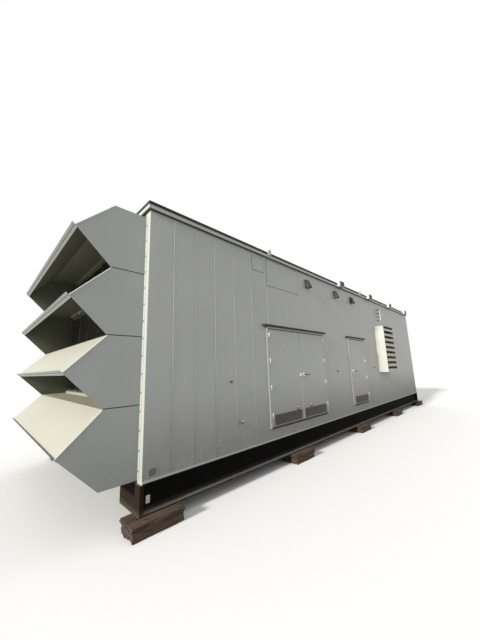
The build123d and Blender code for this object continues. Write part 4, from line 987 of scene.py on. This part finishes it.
# a lens: a shallow crown, z = low - rise (1 - u^4)(1 - v^4) over a rectangle, closed by its flat back
def lampLens(middleX):
    u, v = np.meshgrid(np.linspace(-1, 1, lamp["columns"]), np.linspace(-1, 1, lamp["rows"]), indexing="ij")
    halfX, halfY = (lamp[key] / 2 - lamp["border"] - lamp["lensGap"] for key in ("width", "depth"))
    lower = np.stack([
        middleX + halfX * u, lampHigh[1] - lamp["depth"] / 2 + halfY * v,
        lampLow[2] + lamp["recess"] - lamp["lensEdge"] - lamp["lensRise"] * (1 - u ** 4) * (1 - v ** 4)], 2)
    upper = lower.copy()
    upper[..., 2] = lampLow[2] + lamp["recess"] - lamp["lensBack"]
    shapes = [(side.reshape(-1, 3), gridQuads(lamp["columns"], lamp["rows"])) for side in (lower, upper)]
    for border in (np.s_[0, :], np.s_[-1, :], np.s_[:, 0], np.s_[:, -1]):
        rim = np.stack([lower[border], upper[border]])
        shapes.append((rim.reshape(-1, 3), gridQuads(2, rim.shape[1])))
    return merged(shapes)


addPiece("lampLenses", merged([lampLens(leftX + place) for place in lamp["places"]]),
         frostedLens)

# collars and caps of the bosses, the drain tap, and the painted skin of the upright bar
fitting = {
    "bosses": ((1.72, 1.31), (6.21, 1.39), (9.37, 1.44)), "radius": 0.02, "depth": 0.03,
    "tap": (1.94, 0.544), "tapOut": 0.055, "handleLength": 0.06, "handleWidth": 0.018,
    "handleFoot": 0.0125, "handleHeight": 0.012, "bar": (10.44, 3.42), "barWidth": 0.04,
    "barHeight": 0.49, "barOut": 0.145, "barDepth": 0.025, "skin": 0.0012}
ring = turned(np.array((1.12, 1.12, 1.06, 1.02)) * fitting["radius"],
              (0, 0.004, 0.006, 0.006), (0, -1, 0), 24)
cap = turned(np.array((0.72, 0.72, 0.6, 0.3)) * fitting["radius"],
             np.array((0.98, 1.15, 1.22, 1.24)) * fitting["depth"], (0, -1, 0), 24, flats=6)
addPiece("bossCollars", copies(merged([ring, cap]), [
    (leftX + x, frontY, deckZ + z) for x, z in fitting["bosses"]]), fittingEnamel)
# the drain tap: a dark outlet that hangs from its stub and a bright handle across the top
tap = np.array((leftX + fitting["tap"][0], frontY - fitting["tapOut"], deckZ + fitting["tap"][1]))
outlet = turned((0.013, 0.017, 0.017, 0.012), (-0.038, -0.034, 0.006, 0.012), (0, 0, 1), 20)
addPiece("tapOutlet", copies(outlet, [tap]), fittingEnamel)
reach = np.array((fitting["handleLength"] / 2, fitting["handleWidth"] / 2, 0))
handleFoot = tap + (0, 0, fitting["handleFoot"])
addPiece("tapHandle", bar(handleFoot - reach, handleFoot + reach + (0, 0, fitting["handleHeight"]), 0, 0.003),
         zincPlate)
barFoot = np.array((leftX + fitting["bar"][0], frontY - fitting["barOut"], deckZ + fitting["bar"][1]))
barTop = barFoot + (fitting["barWidth"], fitting["barDepth"], fitting["barHeight"])
addPiece("uprightBarSkin", bar(barFoot - fitting["skin"], barTop + fitting["skin"], 2, 0.003),
         trimPaint)
print("front fittings made")

# timber packing
packing = {
    "stations": 5, "length": 0.81, "width": 0.205, "gap": 0.006, "sleeperInset": 0.014, "around": 44,
    "along": 72, "wear": 0.014, "crackDepth": 0.032, "ragged": 0.036, "dish": 0.004,
    "sleeperWear": 1.0, "boardWear": 0.9}


# one weathered timber: a rounded section carried along X whose faces sink by slow and quick waves,
# point = section * (1 - sink / reach), sink = wear * waves + cracks that deepen towards the ends;
# each end is ragged and closed by rings that shrink to a slightly dished heart
def weatheredTimber(low, high, roughness):
    size, middle = high - low, (low + high) / 2
    outline = barOutline(size[1], size[2], 0.008, steps=2)
    spread = np.linspace(0, 1, packing["around"], endpoint=False) * len(outline)
    closed = np.concatenate([outline, outline[:1]])
    steps = np.arange(len(closed))
    section = np.stack([np.interp(spread, steps, closed[:, k]) for k in (0, 1)], 1)
    t = np.linspace(0, 1, packing["along"])[:, None]
    phases = rng.uniform(0, 2 * pi, 6)
    around = np.linspace(0, 2 * pi, packing["around"], endpoint=False)
    slow = 0.5 + 0.5 * np.sin(3.1 * t * pi + phases[0]) * np.sin(around * 2 + phases[1])
    quick = 0.5 + 0.5 * np.sin(t * 41 + phases[2] + 3 * np.sin(around * 3 + phases[3]))
    wander = 0.25 * np.sin(t * 9 + phases[1]) + 0.1 * np.sin(t * 31 + phases[3])
    grooves = np.maximum(0, np.sin(around * 5 + phases[4] + wander)) ** 18 * np.abs(2 * t - 1) ** 0.7
    sink = packing["wear"] * roughness * (0.6 * slow + 0.25 * quick) + packing["crackDepth"] * grooves
    points = section[None] * (1 - sink / np.abs(section).max(1))[..., None]
    endShift = packing["ragged"] * roughness * (
        0.45 + 0.25 * np.sin(around * 2 + phases[5]) + 0.2 * np.sin(around * 7 + phases[0]))
    x = low[0] + t * size[0] + (1 - t) * endShift - t * endShift
    ring = np.stack([x, middle[1] + points[..., 0], middle[2] + points[..., 1]], 2)
    heart = ring[[0, -1]].mean(1)
    dish = np.array((packing["dish"], 0, 0))
    first = [heart[0] + (ring[0] - heart[0]) * s + dish * (1 - s) for s in (0.0, 0.4, 0.75)]
    last = [heart[1] + (ring[-1] - heart[1]) * s - dish * (1 - s) for s in (0.75, 0.4, 0.0)]
    whole = np.concatenate([np.stack(first), ring, np.stack(last)])
    return whole.reshape(-1, 3), gridQuads(len(whole), packing["around"], wrapColumns=True)


packTop = corners("timber_packing")[1][2]
boardLow, boardHigh = corners("timber_boards")
length, width, inset = packing["length"], packing["width"], packing["sleeperInset"]
pitch = (boardHigh[0] - boardLow[0] - length) / (packing["stations"] - 1)
boardYs = [boardLow[1], boardLow[1] + width + packing["gap"]]
boardYs += [boardLow[1] + boardHigh[1] - y - width for y in boardYs]
spots = [np.array((boardLow[0] + i * pitch, y, 0.0)) for i in range(packing["stations"]) for y in boardYs]
addPiece("weatheredSleepers", merged([
    weatheredTimber(spot + (inset, inset, 0), spot + (length - inset, width - inset, packTop),
                    packing["sleeperWear"])
    for spot in spots]), timber, replaced=("timber_packing",))
addPiece("weatheredBoards", merged([
    weatheredTimber(spot + (0, 0, boardLow[2]), spot + (length, width, boardHigh[2]), packing["boardWear"])
    for spot in spots]), timber, replaced=("timber_boards",))
print("timber made")

# floor, light and camera
studio = {
    "floorSize": 220.0, "floorSeen": 0.55, "floorBounce": 0.22, "worldLight": 1.16,
    "sunLight": 7.1, "sunAngle": 0.12, "sunFrom": (-0.924, -0.03, 0.383), "sunColour": "#FFFCF4"}


# the emptied node tree of a material or world
def bareTree(owner):
    owner.use_nodes = True
    owner.node_tree.nodes.clear()
    return owner.node_tree


# 1 on rays that show the backdrop, straight or in a reflection, and 0 on those that light the object
def seenMask(tree):
    path = addNode(tree, "LightPath")
    mirrored = addNode(tree, "Math", larger, {
        0: path.outputs["Is Glossy Ray"], 1: path.outputs["Is Transmission Ray"]})
    return addNode(tree, "Math", larger, {0: path.outputs["Is Camera Ray"], 1: mirrored})


half = studio["floorSize"] / 2
floorMesh = bpy.data.meshes.new("studioFloor")
floorMesh.from_pydata([(-half, -half, 0), (half, -half, 0), (half, half, 0), (-half, half, 0)],
                      [], [(0, 1, 2, 3)])
floor = bpy.data.objects.new("studioFloor", floorMesh)
bpy.context.scene.collection.objects.link(floor)
floorFinish = bpy.data.materials.new("paleStudioFloor")
tree = bareTree(floorFinish)
shade = addNode(tree, "Mix", mixTones, {
    0: seenMask(tree), 6: (studio["floorBounce"],) * 3 + (1,), 7: (studio["floorSeen"],) * 3 + (1,)})
addNode(tree, "OutputMaterial", None, {"Surface": addNode(tree, "BsdfDiffuse", None, {"Color": shade})})
floorMesh.materials.append(floorFinish)

world = bpy.data.worlds.new("studioWorld")
bpy.context.scene.world = world
tree = bareTree(world)
strength = addNode(tree, "MapRange", None, {
    "Value": seenMask(tree), "To Min": studio["worldLight"], "To Max": 1.0})
sky = addNode(tree, "Background", None, {"Color": (1, 1, 1, 1), "Strength": strength})
addNode(tree, "OutputWorld", None, {"Surface": sky})


# a matrix whose -Z looks along forward and whose Y is as near to up as it can be
def facing(forward, up, position):
    forward = np.asarray(forward, float) / np.linalg.norm(forward)
    right = np.cross(forward, up)
    right /= np.linalg.norm(right)
    axes = np.stack([right, np.cross(right, forward), -forward], 1)
    matrix = np.eye(4)
    matrix[:3, :3], matrix[:3, 3] = axes, position
    return Matrix(matrix.tolist())


sun = bpy.data.objects.new("keyLight", bpy.data.lights.new("keyLight", "SUN"))
sun.data.energy = studio["sunLight"]
sun.data.angle = studio["sunAngle"]
sun.data.color = colour(studio["sunColour"])[:3]
sunFrom = np.array(studio["sunFrom"])
sun.matrix_world = facing(-sunFrom, (0, 0, 1), sunFrom * 30)
bpy.context.scene.collection.objects.link(sun)

# the camera, placed from the left front corner of the deck; angles in radians
view = {"from": (-1.818, -3.851, 1.54), "yaw": 0.7834, "pitch": 0.1833, "roll": -0.0314, "lens": 14.92,
        "sensor": 36.0, "clipEnd": 500.0}
yaw, pitch, roll = view["yaw"], view["pitch"], view["roll"]
ahead = np.array([sin(yaw) * cos(pitch), cos(yaw) * cos(pitch), sin(pitch)])
levelRight = np.array([cos(yaw), -sin(yaw), 0])
levelUp = np.cross(levelRight, ahead)
cameraUp = -sin(roll) * levelRight + cos(roll) * levelUp
camera = bpy.data.objects.new("camera", bpy.data.cameras.new("camera"))
camera.data.lens = view["lens"]
camera.data.sensor_width = view["sensor"]
camera.data.sensor_fit = "AUTO"
camera.data.clip_end = view["clipEnd"]
camera.matrix_world = facing(ahead, cameraUp, np.array((leftX, frontY, deckZ)) + view["from"])
bpy.context.scene.collection.objects.link(camera)
bpy.context.scene.camera = camera
bpy.context.scene.view_settings.view_transform = "Standard"
print("studio ready")
